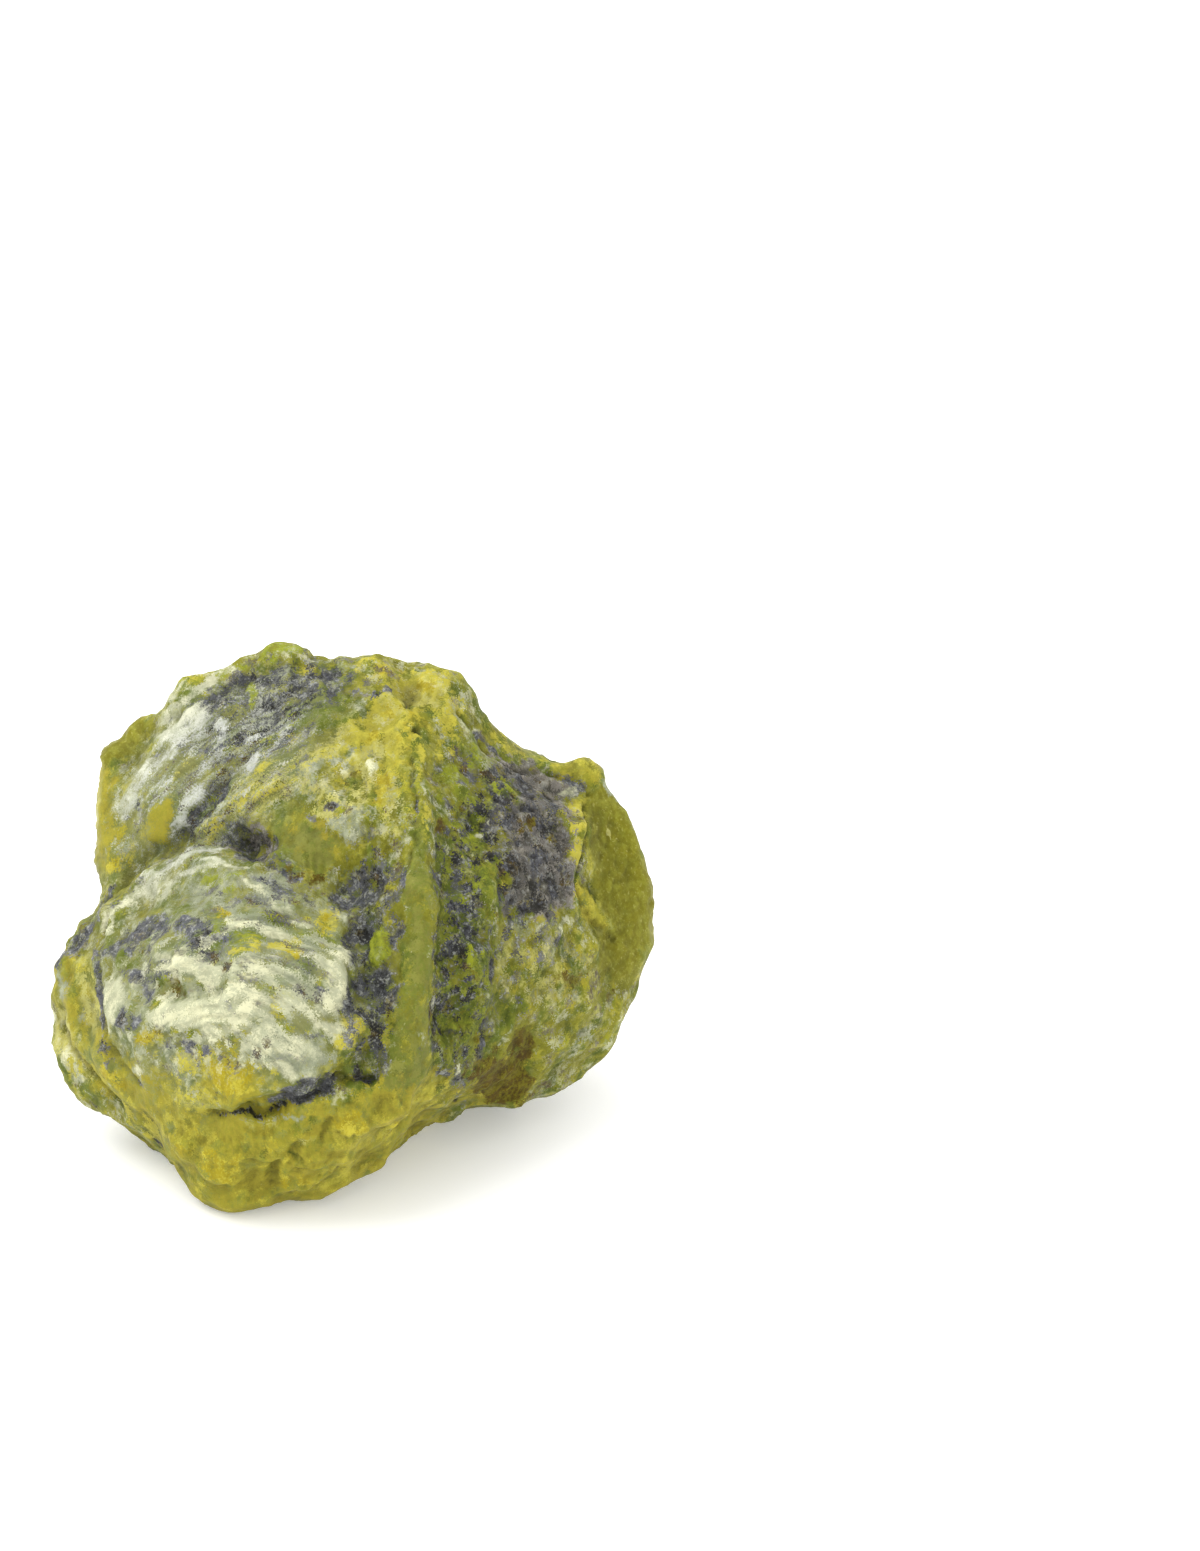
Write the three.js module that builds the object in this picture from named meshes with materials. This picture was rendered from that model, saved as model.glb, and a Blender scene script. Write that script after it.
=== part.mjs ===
// A rough lump of serpentine, broken from the rock and left unpolished. It is one piece of stone.
//
// Millimetres, +Z up. The stone stands on its resting flat at z = 0, and the origin is on the table, under
// the middle of the stone's box. Its domed front faces -Y.
//
// The skin is star shaped: each point of it can be seen from the stone's heart. Landmarks fix the skin where
// its form turns, flat facets span them, and wear rounds the facets' edges. Cracks, ribs, pits and knobs
// follow as lines on the skin that sink or raise it, and a rough grain comes last.
import * as THREE from "three";
import { ConvexHull } from "three/addons/math/ConvexHull.js";
import { ImprovedNoise } from "three/addons/math/ImprovedNoise.js";
import { mergeVertices } from "three/addons/utils/BufferGeometryUtils.js";

const HEART_HEIGHT = 21.5; // the heart above the table
const LOOK_DOWN = THREE.MathUtils.degToRad(30); // how steeply the display side is looked down on
const CLEAR_OF_STONE = 100; // a reach past the whole stone
const SKIN_DETAIL = 20; // the skin has 20 x (SKIN_DETAIL + 1)^2 triangles
const WEAR_PASSES = 3; // how far the facets' edges are worn round
const GRAIN = [
  { across: 10, height: 0.9 },
  { across: 4.5, height: 0.5 },
];
const GRAIN_SEED = 40; // moves the grain's pattern along each axis

// Display side, as looked at: [right, up, nearer] from the heart.
const DISPLAY_SIDE = {
  crest: [
    [-20.4, 22, -4], [-17.6, 26, -2.5], [-14.6, 27.2, -2], [-10.2, 27.9, -1.5], [-7.2, 29.7, -1],
    [-3.5, 27.5, -1], [3.6, 27.6, 0], [5.4, 24.5, 0.6], [7.7, 27.2, 0], [10.3, 26.6, -0.5],
    [11.9, 25, -1], [12.3, 22.8, -1], [13.8, 21.2, -2], [16.3, 19.5, -3], [18.9, 16.9, -4],
  ],
  lipRim: [
    [21, 17.6, -4.5], [23.6, 17.3, -5], [25.3, 15.8, -4.8], [28, 12, -4.5], [29.4, 8.3, -4.5],
    [30.6, 4.9, -4.5], [31.2, 1.4, -4.5], [31, -3, -5], [28.5, -8, -6], [25.5, -13, -7], [21, -16.3, -7],
  ],
  lipScoop: [[24, 12.6, -2.2], [25.6, 8, -1.6], [26.6, 2, -1.4], [26.5, -4, -2]],
  lipStep: [[22, 12, 0.4], [22, 6.5, 2.4], [22.3, 2.5, 3], [24, -2, 2.2], [23.5, -7, 1.4]],
  footRim: [
    [15.8, -17.7, -4], [12, -17, -2], [8.7, -17.6, 0], [6.2, -19.1, 1.5], [3.9, -21, 3],
    [1.9, -23.6, 4], [-1, -25.8, 5.5], [-4.3, -27.3, 6.5], [-7.6, -27, 7], [-12.6, -28.6, 6],
    [-14.3, -27.5, 6], [-16.5, -24.3, 5], [-17.9, -21.1, 4],
  ],
  leftRim: [
    [-20.5, -22, 2], [-22.4, -19.8, 1], [-24.4, -18.2, -1], [-27.4, -17, -3], [-30, -14.4, -3],
    [-30.9, -11.7, -3], [-29.7, -9.8, -2], [-31.1, -7.5, -2], [-31.2, -5.5, -2], [-29.8, -3.2, -2],
    [-28.4, 0.2, -2], [-26.2, 1.9, -2],
  ],
  shoulderRim: [
    [-23.6, 3.3, -5], [-26.4, 5.2, -6], [-27.1, 7.8, -7], [-27, 12.3, -7], [-27.1, 17.1, -7],
    [-25.6, 19.2, -7], [-22.4, 20.5, -6],
  ],
  shoulder: [
    [-23, 9, -1.5], [-22.5, 14.5, -1], [-19, 19, 0.5], [-17.5, 12, 4], [-14, 20, 2.5], [-10, 15, 6.5],
    [-8, 22, 3.5], [-2, 22, 5], [-4, 15.5, 9], [2, 12, 12.5], [-19.5, 6.5, 2.5],
  ],
  hollow: [[-13, 9.5, 6], [-9.5, 8, 8], [-4.5, 8.5, 11.5], [-3, 4, 13.5]],
  buttress: [
    [5.7, 22, 5], [6, 16, 9.5], [6.3, 10, 13.8], [6.5, 3, 17], [6, -4, 18.5], [5, -11, 17.5], [3.2, -17, 14],
  ],
  dome: [
    [-22.5, 2.5, 3.5], [-17.5, 6.5, 7.5], [-11, 5, 13.5], [-5, 0.5, 16.5], [-25.5, -4, 6], [-20, -2, 12],
    [-12, -2, 18], [-4, -5, 19.5], [1.5, -5, 17], [1.8, 3, 14.5], [-25.5, -11, 6], [-19, -10, 13.5],
    [-11, -10, 19.5], [-3.5, -12, 20], [-1, -15.5, 18],
  ],
  foot: [
    [-24, -15.5, 5], [-19, -17, 10], [-13, -18.5, 15.5], [-6, -19, 17], [0, -19.5, 14.5], [-9, -23.5, 13],
    [-14.5, -22.5, 10.5],
  ],
  cheek: [
    [12, 17.5, 3.5], [11.5, 10, 9.5], [12, 3, 12.4], [12, -5, 13.2], [10.5, -12, 11.5], [16.5, 12, 4.5],
    [17, 5, 8], [17.5, -3, 8.8], [16, -10, 7], [13, -14.6, 5.5], [8.5, -16, 9.5],
  ],
};

// Far side and underside, as the stone stands: [x, y, height above the table].
const FAR_SIDE = {
  behindCrest: [[-17, 17, 37], [-9, 19.5, 39], [1, 20, 39.5], [9, 18, 38], [17, 15.5, 31.5], [24, 13, 28]],
  back: [[-25, 11, 22], [-17, 20, 20], [-6, 24, 22], [6, 23.5, 20], [17, 19.5, 18], [26, 11, 17]],
  backFoot: [[-24, 6, 9], [-16, 15, 6], [-5, 19, 5], [7, 18, 5], [17, 13, 5], [24, 6, 8]],
  restingFlat: [
    [-13, -15, -1], [-3, -12, -1], [4, -4.5, -1], [8.5, 3, -1], [12, 8, -1], [4, 14, -1], [-9, 13, -1],
    [-17, 4, -1], [-18, -7, -1], [-3, 0, -1],
  ],
};

// Lines on the display side, as [right, up] points. Each raises the skin by its height, or sinks it where
// that is negative, and fades to either side over its width.
const DISPLAY_LINES = {
  crackUnderDome: {
    width: 1.5, height: -1.7,
    points: [[-14, -18.8], [-10, -18.2], [-5.5, -17.2], [-1, -15], [2, -13]],
  },
  domeHem: { width: 1.6, height: 0.7, points: [[-14, -16.8], [-9, -16], [-4.5, -14.6], [-1, -12.4]] },
  stepOverDome: {
    width: 1.5, height: -1.3,
    points: [[-24.3, 4], [-22.5, 6.8], [-20, 8.6], [-17.2, 9.8], [-14.4, 10.2], [-12, 9.8]],
  },
  domeBrow: { width: 1.6, height: 0.7, points: [[-23, 2.8], [-20, 5.4], [-16.5, 7.4], [-12, 7]] },
  domeTerrace: {
    width: 1.2, height: -0.5,
    points: [[-19.5, 5], [-23, -1], [-25, -6], [-24.6, -11], [-21.5, -16]],
  },
  pit: { width: 1.7, height: -1.3, points: [[-11.6, 9.6], [-9.4, 8.8]] },
  buttressSpine: {
    width: 1.8, height: 0.7,
    points: [[5.8, 20], [6.3, 11], [6.6, 2], [5.8, -5], [4.7, -12], [3, -17]],
  },
  grooveLeftOfButtress: { width: 2, height: -1, points: [[-1.2, 6], [0.7, 0], [1.7, -6], [1.9, -11.5]] },
  grooveRightOfButtress: { width: 1.5, height: -0.7, points: [[8.9, 9], [9.4, 1], [8.9, -7], [7.9, -13.5]] },
  cheekGroove: { width: 1.2, height: -0.6, points: [[10.6, 22], [13.6, 19.2], [17.2, 15.9], [20.2, 13.8]] },
  cheekKnob: { width: 2.6, height: 0.8, points: [[17, 5.5], [19.4, 1]] },
  cheekHollow: { width: 2.2, height: -0.8, points: [[14.6, -2], [15.6, -8]] },
  lipStepTop: { width: 1.3, height: 0.6, points: [[21.6, 12.4], [21.2, 7], [21.4, 3.6], [23.2, -1.6]] },
  lipStepFoot: { width: 1.3, height: -0.6, points: [[23.8, 11.8], [23.6, 7], [23.8, 3.6], [25.6, -0.8]] },
  crestNotch: { width: 1.2, height: -1.2, points: [[5.3, 25], [5.6, 23.2]] },
  ear: { width: 1.7, height: 0.8, points: [[21.4, 15.8], [23.6, 15.4]] },
  shoulderTrough: { width: 1.8, height: -0.8, points: [[-19, 9.4], [-15.4, 13.4], [-12, 17]] },
  shoulderRib: { width: 2, height: 0.7, points: [[-16, 10.8], [-11, 13.4], [-4, 19], [2, 24]] },
  flapSeam: {
    width: 1.2, height: -0.9,
    points: [[-29.6, -9.9], [-28.2, -12.4], [-26.2, -15.2], [-24.2, -17.4]],
  },
  footLumpLeft: { width: 2.2, height: 0.8, points: [[-17.5, -20.6], [-14.6, -23.6]] },
  footLumpRight: { width: 2.4, height: 0.8, points: [[-3.4, -21.4], [0.6, -19.4]] },
  footCleft: { width: 1.3, height: -0.8, points: [[-8.6, -20.4], [-7.4, -25.4]] },
};

// Lines on the far side, as [x, y, height] points that are carried out from the heart to the skin.
const FAR_LINES = {
  backLedge: {
    width: 2.6, height: -1.1,
    points: [[-19, 17, 33], [-11, 21, 28], [-3, 23, 26.5], [4, 23, 21]],
  },
  backRib: {
    width: 2.8, height: 1,
    points: [[-14, 17, 36], [-6, 21, 31], [3, 22, 29], [10, 20, 23], [14, 19, 14]],
  },
  backCleft: { width: 2, height: -1, points: [[17, 18, 24], [12, 20, 16], [9, 19, 8]] },
  backPit: { width: 2.6, height: -1.3, points: [[-13, 20, 15], [-9, 21, 12.6]] },
  backKnob: { width: 3.4, height: 1, points: [[-4, 22, 17]] },
  crestGroove: { width: 1.8, height: -0.9, points: [[-9, 8, 43], [-3, 12, 43], [-1, 17, 40]] },
  rightFlank: { width: 2.6, height: -1, points: [[24, 13, 27], [25, 9, 18], [19, 8, 9]] },
  leftFlank: { width: 2.2, height: -1, points: [[-23, 14, 30], [-25, 9, 21], [-21, 6, 9]] },
  leftKnob: { width: 3, height: 0.9, points: [[-20, 16, 20]] },
};

const heart = new THREE.Vector3();
const towardsViewer = new THREE.Vector3(0, -Math.cos(LOOK_DOWN), Math.sin(LOOK_DOWN));
const noise = new ImprovedNoise();

// From the display view to the standing stone's axes, both counted from the heart.
function fromDisplay([right, up, nearer]) {
  const upwards = new THREE.Vector3(0, Math.sin(LOOK_DOWN), Math.cos(LOOK_DOWN));
  return new THREE.Vector3(right, 0, 0).addScaledVector(upwards, up).addScaledVector(towardsViewer, nearer);
}

function fromTable([x, y, height]) {
  return new THREE.Vector3(x, y, height - HEART_HEIGHT);
}

// Joins each landmark to its neighbours with triangular facets. Neighbours are those whose directions from
// the heart are joined in the convex hull of all the directions.
function spanFacets(landmarks) {
  const towards = landmarks.map((landmark) => landmark.clone().normalize());
  const cornersOf = ({ edge }) => [edge, edge.next, edge.next.next].map((side) => side.head().point);
  return new ConvexHull()
    .setFromPoints(towards)
    .faces.map((face) => cornersOf(face).map((corner) => landmarks[towards.indexOf(corner)]));
}

// Where a ray from the heart leaves the facets.
function outFromHeart(facets, direction) {
  const ray = new THREE.Ray(heart, direction.clone().normalize());
  const hit = new THREE.Vector3();
  const found = facets.some((facet) => ray.intersectTriangle(...facet, false, hit));
  if (!found) throw new Error("no facet in that direction");
  return hit;
}

// Where the facets are nearest to the viewer at one place in the display view.
function onDisplaySide(facets, [right, up]) {
  const ray = new THREE.Ray(fromDisplay([right, up, CLEAR_OF_STONE]), towardsViewer.clone().negate());
  const hits = facets
    .map((facet) => ray.intersectTriangle(...facet, false, new THREE.Vector3()))
    .filter((hit) => hit !== null);
  if (hits.length === 0) throw new Error(`no facet at ${right}, ${up}`);
  const nearness = (hit) => hit.dot(towardsViewer);
  return hits.reduce((nearest, hit) => (nearness(hit) > nearness(nearest) ? hit : nearest));
}

// A ball of triangles, spread evenly.
function evenBall() {
  const ball = new THREE.IcosahedronGeometry(1, SKIN_DETAIL);
  ball.deleteAttribute("normal");
  ball.deleteAttribute("uv");
  return mergeVertices(ball, 1e-4);
}

// For each vertex, the vertices that share an edge with it.
function neighboursOf(index, count) {
  const neighbours = Array.from({ length: count }, () => new Set());
  for (let i = 0; i < index.length; i += 3) {
    for (let corner = 0; corner < 3; corner++) {
      const from = index[i + corner];
      const to = index[i + ((corner + 1) % 3)];
      neighbours[from].add(to);
      neighbours[to].add(from);
    }
  }
  return neighbours.map((set) => [...set]);
}

// Moves each point's reach towards its neighbours' mean, by the given share of the way.
function relax(reaches, neighbours, share) {
  return reaches.map((reach, i) => {
    const mean = neighbours[i].reduce((sum, j) => sum + reaches[j], 0) / neighbours[i].length;
    return reach + share * (mean - reach);
  });
}

// Wear rounds the facets' edges. Each pass smooths the skin and then swells it back, so it keeps its size.
function wear(reaches, neighbours) {
  let worn = reaches;
  for (let pass = 0; pass < WEAR_PASSES; pass++) {
    worn = relax(worn, neighbours, 0.5);
    worn = relax(worn, neighbours, -0.5);
  }
  return worn;
}

// The distance from a point to a chain of straight stretches, or to its one point.
function distanceToChain(point, chain) {
  const foot = new THREE.Vector3();
  return chain.reduce((least, end, i) => {
    new THREE.Line3(chain[Math.max(i - 1, 0)], end).closestPointToPoint(point, true, foot);
    return Math.min(least, foot.distanceTo(point));
  }, Infinity);
}

// How far the lines raise the skin at one point.
function linesAt(point, lines) {
  return lines.reduce((sum, { chain, width, height }) => {
    const away = distanceToChain(point, chain) / width;
    return sum + height * Math.exp(-(away ** 2));
  }, 0);
}

// How far the grain raises the skin at one point.
function grainAt(point) {
  return GRAIN.reduce((sum, { across, height }) => {
    const place = point.clone().divideScalar(across).addScalar(GRAIN_SEED);
    return sum + height * noise.noise(place.x, place.y, place.z);
  }, 0);
}

function rockGeometry() {
  const landmarks = [
    ...Object.values(DISPLAY_SIDE).flat().map(fromDisplay),
    ...Object.values(FAR_SIDE).flat().map(fromTable),
  ];
  const facets = spanFacets(landmarks);
  const lines = [
    ...Object.values(DISPLAY_LINES).map(({ width, height, points }) => ({
      width, height, chain: points.map((point) => onDisplaySide(facets, point)),
    })),
    ...Object.values(FAR_LINES).map(({ width, height, points }) => ({
      width, height, chain: points.map((point) => outFromHeart(facets, fromTable(point))),
    })),
  ];
  const skin = evenBall();
  const position = skin.getAttribute("position");
  const directions = Array.from({ length: position.count }, (_, i) =>
    new THREE.Vector3().fromBufferAttribute(position, i).normalize(),
  );
  const neighbours = neighboursOf(skin.index.array, position.count);
  const reaches = wear(
    directions.map((direction) => outFromHeart(facets, direction).length()),
    neighbours,
  );

  directions.forEach((direction, i) => {
    const worn = direction.clone().multiplyScalar(reaches[i]);
    const point = worn.clone().addScaledVector(direction, linesAt(worn, lines) + grainAt(worn));
    position.setXYZ(i, point.x, point.y, Math.max(point.z + HEART_HEIGHT, 0));
  });
  skin.computeBoundingBox();
  const middle = skin.boundingBox.getCenter(new THREE.Vector3());
  return skin.translate(-middle.x, -middle.y, 0);
}

const serpentine = new THREE.MeshStandardMaterial({ color: 0x9a9a3c, roughness: 0.55, metalness: 0 });
const rock = new THREE.Mesh(rockGeometry(), serpentine);
rock.name = "serpentine_rock";

const group = new THREE.Group();
group.add(rock);
export default group;
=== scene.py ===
import bpy
import numpy as np
from bpy.props import FloatProperty, FloatVectorProperty, IntProperty, PointerProperty
from mathutils import Euler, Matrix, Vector


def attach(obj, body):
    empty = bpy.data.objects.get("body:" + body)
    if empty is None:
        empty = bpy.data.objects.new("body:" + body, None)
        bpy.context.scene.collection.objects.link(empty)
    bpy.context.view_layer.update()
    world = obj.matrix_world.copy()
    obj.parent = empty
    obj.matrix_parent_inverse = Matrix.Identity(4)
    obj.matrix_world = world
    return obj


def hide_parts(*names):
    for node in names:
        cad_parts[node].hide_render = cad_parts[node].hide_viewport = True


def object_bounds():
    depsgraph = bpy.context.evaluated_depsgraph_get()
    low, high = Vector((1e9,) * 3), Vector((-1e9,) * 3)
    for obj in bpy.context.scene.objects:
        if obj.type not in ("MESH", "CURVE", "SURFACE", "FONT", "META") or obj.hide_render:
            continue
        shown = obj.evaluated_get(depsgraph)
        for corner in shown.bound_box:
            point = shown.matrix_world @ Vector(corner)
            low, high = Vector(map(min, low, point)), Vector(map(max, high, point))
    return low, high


bl_info = {
    "name": "Serpentine Rock",
    "version": (1, 0, 0),
    "blender": (4, 5, 0),
    "location": "View3D > Sidebar > Serpentine",
    "description": "Gives a rough lump of serpentine its broken skin and its mottled stone",
    "category": "Object",
}

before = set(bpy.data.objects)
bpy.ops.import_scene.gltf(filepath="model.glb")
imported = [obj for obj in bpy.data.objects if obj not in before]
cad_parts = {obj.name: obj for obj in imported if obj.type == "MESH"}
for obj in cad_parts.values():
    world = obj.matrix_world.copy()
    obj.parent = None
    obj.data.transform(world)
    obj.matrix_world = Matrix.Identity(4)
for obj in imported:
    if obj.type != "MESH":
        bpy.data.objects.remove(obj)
CAD_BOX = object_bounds()

NODE = "serpentine_rock"
MM = 0.001

# The display view looks down on the domed side. Its axes are right, up and nearer, in millimetres from the
# stone's heart.
HEART = np.array([0.0, -0.13, 21.5])
LOOK_DOWN = np.radians(30)
RIGHT = np.array([1.0, 0.0, 0.0])
UP = np.array([0.0, np.sin(LOOK_DOWN), np.cos(LOOK_DOWN)])
NEARER = np.array([0.0, -np.cos(LOOK_DOWN), np.sin(LOOK_DOWN)])
DISPLAY_AXES = np.stack([RIGHT, UP, NEARER], axis=1)
EYE_DISTANCE = 900.0

IMAGE_SIZE = (1200, 1551)
IMAGE_HEART = (355, 930)
PIXELS_PER_MM = 10.0

# The display side fades out where the skin turns away: the normal's part towards the eye where none of it
# shows, and where all of it does.
FACING = (-0.35, 0.05)

# The fibres of the stone bend round two centres of the display view (right, up). Each bundle of fibres fills
# a patch (right, up, half length, half width, lean in degrees).
FIBRES = {
    "dome": ((-13, -18), (-13, -6.5, 14, 10.5, 20)),
    "shoulder": ((6, -9), (-14, 15, 13, 6.5, 40)),
}
# Lengths along the arcs of the fibres are true at this distance from their centre.
MEAN_RADIUS = 15.0

# The flakes of colour in each bundle: their width, and how many times as long they are as wide.
FLAKES = {"dome": (0.9, 2.4), "shoulder": (0.5, 1.7)}

# Marks, lumps and cracks sway by noise of this width and height. Marks and lumps are also pulled out along
# the fibres by about this much, in splinters of this length, width and depth.
SWAY_WIDTH = 2.0
SWAY = 0.45
PULL = 0.35
SPLINTER = (3.0, 0.42, 0.6)

# A patch fades in over this range of distances from its middle, where 1 is its edge. It reaches PATCH_DEPTH
# into the stone for each millimetre of its half length, and LEAST_PATCH_DEPTH besides.
PATCH_EDGE = (1.45, 0.55)
PATCH_DEPTH = 2.5
LEAST_PATCH_DEPTH = 2.0

# Widths of the forms of the skin's relief, and the height of the small chips against the large ones.
LUMP_WIDTH = 7.0
CHIP_WIDTH = 4.2
SMALL_CHIP_WIDTH = 1.7
SMALL_CHIPS = 0.22
LAYER_GAP = 1.2
GRIT_WIDTH = 0.9

# Waxy faces lose this share of the relief, layers keep this share outside the bundles of fibres, and the
# dark kinds of stone add this many times the usual grit.
WAXY_CALM = 0.6
STRAY_LAYERS = 0.35
DARK_GRIT = 2.0

# The seeds of the random numbers. Each octave of a noise takes the next seed. The kinds of stone start
# SEEDS_PER_KIND apart.
SEEDS = {
    "lumps": 1, "chips": 2, "small chips": 3, "grit": 4, "layers": 5, "sway": (10, 15, 18), "pull": 20,
    "wide": 30, "kinds": 100,
}
SEEDS_PER_KIND = 10

# Cracks and ledges on the display side: width, depth and the points (right, up) that they run through. The
# central ridge rises in the same way: width, height and points.
CRACKS = {
    "under the dome": (
        0.4, 0.8,
        [(-14.5, -18.4), (-11, -18.5), (-8, -18.1), (-5.5, -17.2), (-1.5, -15.6), (1.5, -14.2)],
    ),
    "left of the dome": (
        0.35, 0.5,
        [(-24.8, 1.5), (-25.6, -2), (-25.9, -6), (-25.4, -10), (-23.8, -13.4), (-22, -15.6)],
    ),
    "over the dome": (
        0.6, 0.5,
        [(-24.6, 3.6), (-22.6, 6.2), (-20, 8.2), (-17.2, 9.2), (-14, 9.4), (-11, 8.8), (-8.6, 7)],
    ),
    "cheek": (0.35, 0.6, [(10.5, 21.9), (12.6, 19.6), (14.8, 17.4), (16.6, 16.2), (20.4, 16)]),
    "ridge seam": (0.3, 0.4, [(5.5, 17.5), (6, 13), (5.9, 9.5), (4.9, 6), (4.3, 4)]),
    "ridge left": (0.6, 0.12, [(4.2, 7), (3.6, 3.5), (4.3, -1), (3.6, -4), (2.6, -8.5), (1.7, -13.5)]),
    "ridge right": (
        0.6, 0.1,
        [(9, 12), (8.7, 6), (8.1, 3.5), (8.2, -1.5), (9, -4), (8.1, -7.8), (7.9, -11.5), (8.7, -15)],
    ),
    "flap": (0.4, 0.7, [(-29.6, -9.9), (-28, -12.6), (-26, -15.2), (-24.4, -17.2)]),
    "lip step": (0.35, 0.5, [(23.4, 13.6), (23.1, 12), (22.7, 7), (22.5, 5), (23.4, 2), (25.9, -1)]),
}
RIDGE = (
    1.6, 0.12,
    [(6.3, 14), (6.5, 7), (5.9, 3.5), (6.2, -1), (6.4, -4), (5.4, -8.3), (4.8, -12), (5, -15)],
)

# Lumps above 0 and pits below it: (right, up, half length, half width, lean in degrees, height).
LUMPS = [
    (-19.6, 22.4, 2, 1.2, 45, 0.4), (-25, 13.5, 4, 2, 90, 0.2), (-28, 0, 2, 1.2, 60, 0.8),
    (23.6, 15.9, 1.8, 1.2, -35, 0.9), (28.8, 7, 5, 1.5, 105, 0.5), (-29.4, -2.8, 2, 1.4, 62, 0.9),
    (-21.7, 20.4, 1.8, 1, 40, 0.5), (-24.4, 18, 1.4, 1, 50, 0.5), (4.4, -22.2, 3.4, 1.2, 40, 0.6),
    (1.5, -24.2, 2.5, 1, 25, 0.3), (-30, -10, 3, 1.2, 92, -0.4), (-7.4, 28, 2.2, 1.4, 0, 0.7),
    (-2.5, 26.6, 1.8, 1.2, 0, 0.6), (3.5, 27.5, 2.4, 1.2, 0, -0.4), (-10.8, 9.2, 2.8, 1.3, -22, -0.2),
    (-9.6, 8, 1.6, 1, -40, -0.1), (-12.8, 8.4, 1.8, 0.9, 0, -0.1), (0.6, 4.6, 2.8, 1.9, 80, -0.5),
    (-1.5, 3, 2, 1.2, 50, -0.3), (1.9, -5.3, 2.4, 1.7, 20, -0.5), (0.3, -0.6, 1.7, 0.8, 0, -0.4),
    (1.3, -14.5, 1, 0.9, 0, -0.3), (2.5, -1.7, 1.5, 1, 80, 0.7), (-0.9, -10.2, 1.5, 1.1, 60, 0.3),
    (-2.2, -5.5, 2.6, 1.2, 85, 0.5), (-15.2, -8.4, 5.6, 1.4, 2, 0.5), (-15.5, -4, 2.8, 1.1, -25, 0.4),
    (-18.9, -5.8, 1.7, 1, -20, -0.6), (-12.6, -14.9, 2, 1.7, -30, 0.6), (-5, -15.9, 3, 0.9, 22, -0.4),
    (-5, 8.4, 3.2, 1.8, -10, -0.3), (-0.8, 10.8, 2, 1.5, -30, 0.4), (-8.7, 14.2, 2.5, 0.8, 20, 0.5),
    (-15.4, 11.9, 4.4, 0.7, 50, -1.0), (-19.3, 11, 2.8, 1.3, 60, 0.6), (-16.7, 16.4, 1.3, 0.9, 30, 0.5),
    (-17, 20.3, 2.8, 1.2, 40, 0.4), (-13.2, 20.5, 0.8, 0.8, 0, 0.6), (-9, 21.5, 2, 1.4, 30, -0.6),
    (-12.3, 24.2, 2.6, 0.8, 35, -0.6), (12.2, 11.2, 1.8, 1, 0, -0.5), (17.2, 12, 0.8, 0.4, 0, -0.6),
    (13.2, 4.8, 1.9, 1.2, 80, 0.7), (11.8, -3.4, 1.9, 1.1, 85, 0.8), (13.9, -3.3, 2.6, 0.4, 88, -0.2),
    (18.4, 4, 3.6, 2.4, 10, -0.4), (22.2, 10.7, 1.8, 0.5, 85, 0.4), (24, 2.2, 3.2, 0.6, -55, 0.35),
    (-13.2, -23.3, 2.4, 1.9, 0, 0.8), (-5.2, -24.3, 2.6, 1.5, 20, 0.7), (-17, -21.5, 1.4, 1.2, -40, 0.5),
    (3.8, -18.4, 1.8, 1.2, 40, 0.5), (-0.3, -19.2, 1.6, 1.2, 20, 0.6), (-8, -24, 1.8, 0.6, 80, -0.25),
    (-2.9, -19.9, 1.4, 0.5, 80, -0.3), (-5.8, -21.9, 1.2, 0.6, 60, -0.35),
    (-9.6, -21.6, 2.4, 1.1, 0, 0.4), (6.2, 20, 0.6, 0.6, 0, -0.6), (5.4, 22.7, 0.5, 0.4, 50, -0.5),
    (1.7, 16.4, 0.9, 0.6, 60, 0.3), (6.6, 24.6, 2, 1.4, 0, 0.5), (-7.6, 3.4, 2.6, 1, -30, 0.4),
    (-24, -6.8, 1.8, 1, 90, 0.4), (-21.2, -5.6, 1.4, 0.6, 85, -0.5), (9.8, -9.4, 2.2, 1.2, 75, -0.6),
    (12.6, -10.2, 2, 1, -50, -0.6), (17, -11.6, 2.8, 1.4, 80, -0.4), (14.4, 14, 1, 0.8, 0, 0.5),
    (18.8, 14.7, 0.9, 0.6, 0, 0.4), (-3.2, 17, 2.4, 0.9, 35, 0.4),
]

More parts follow.
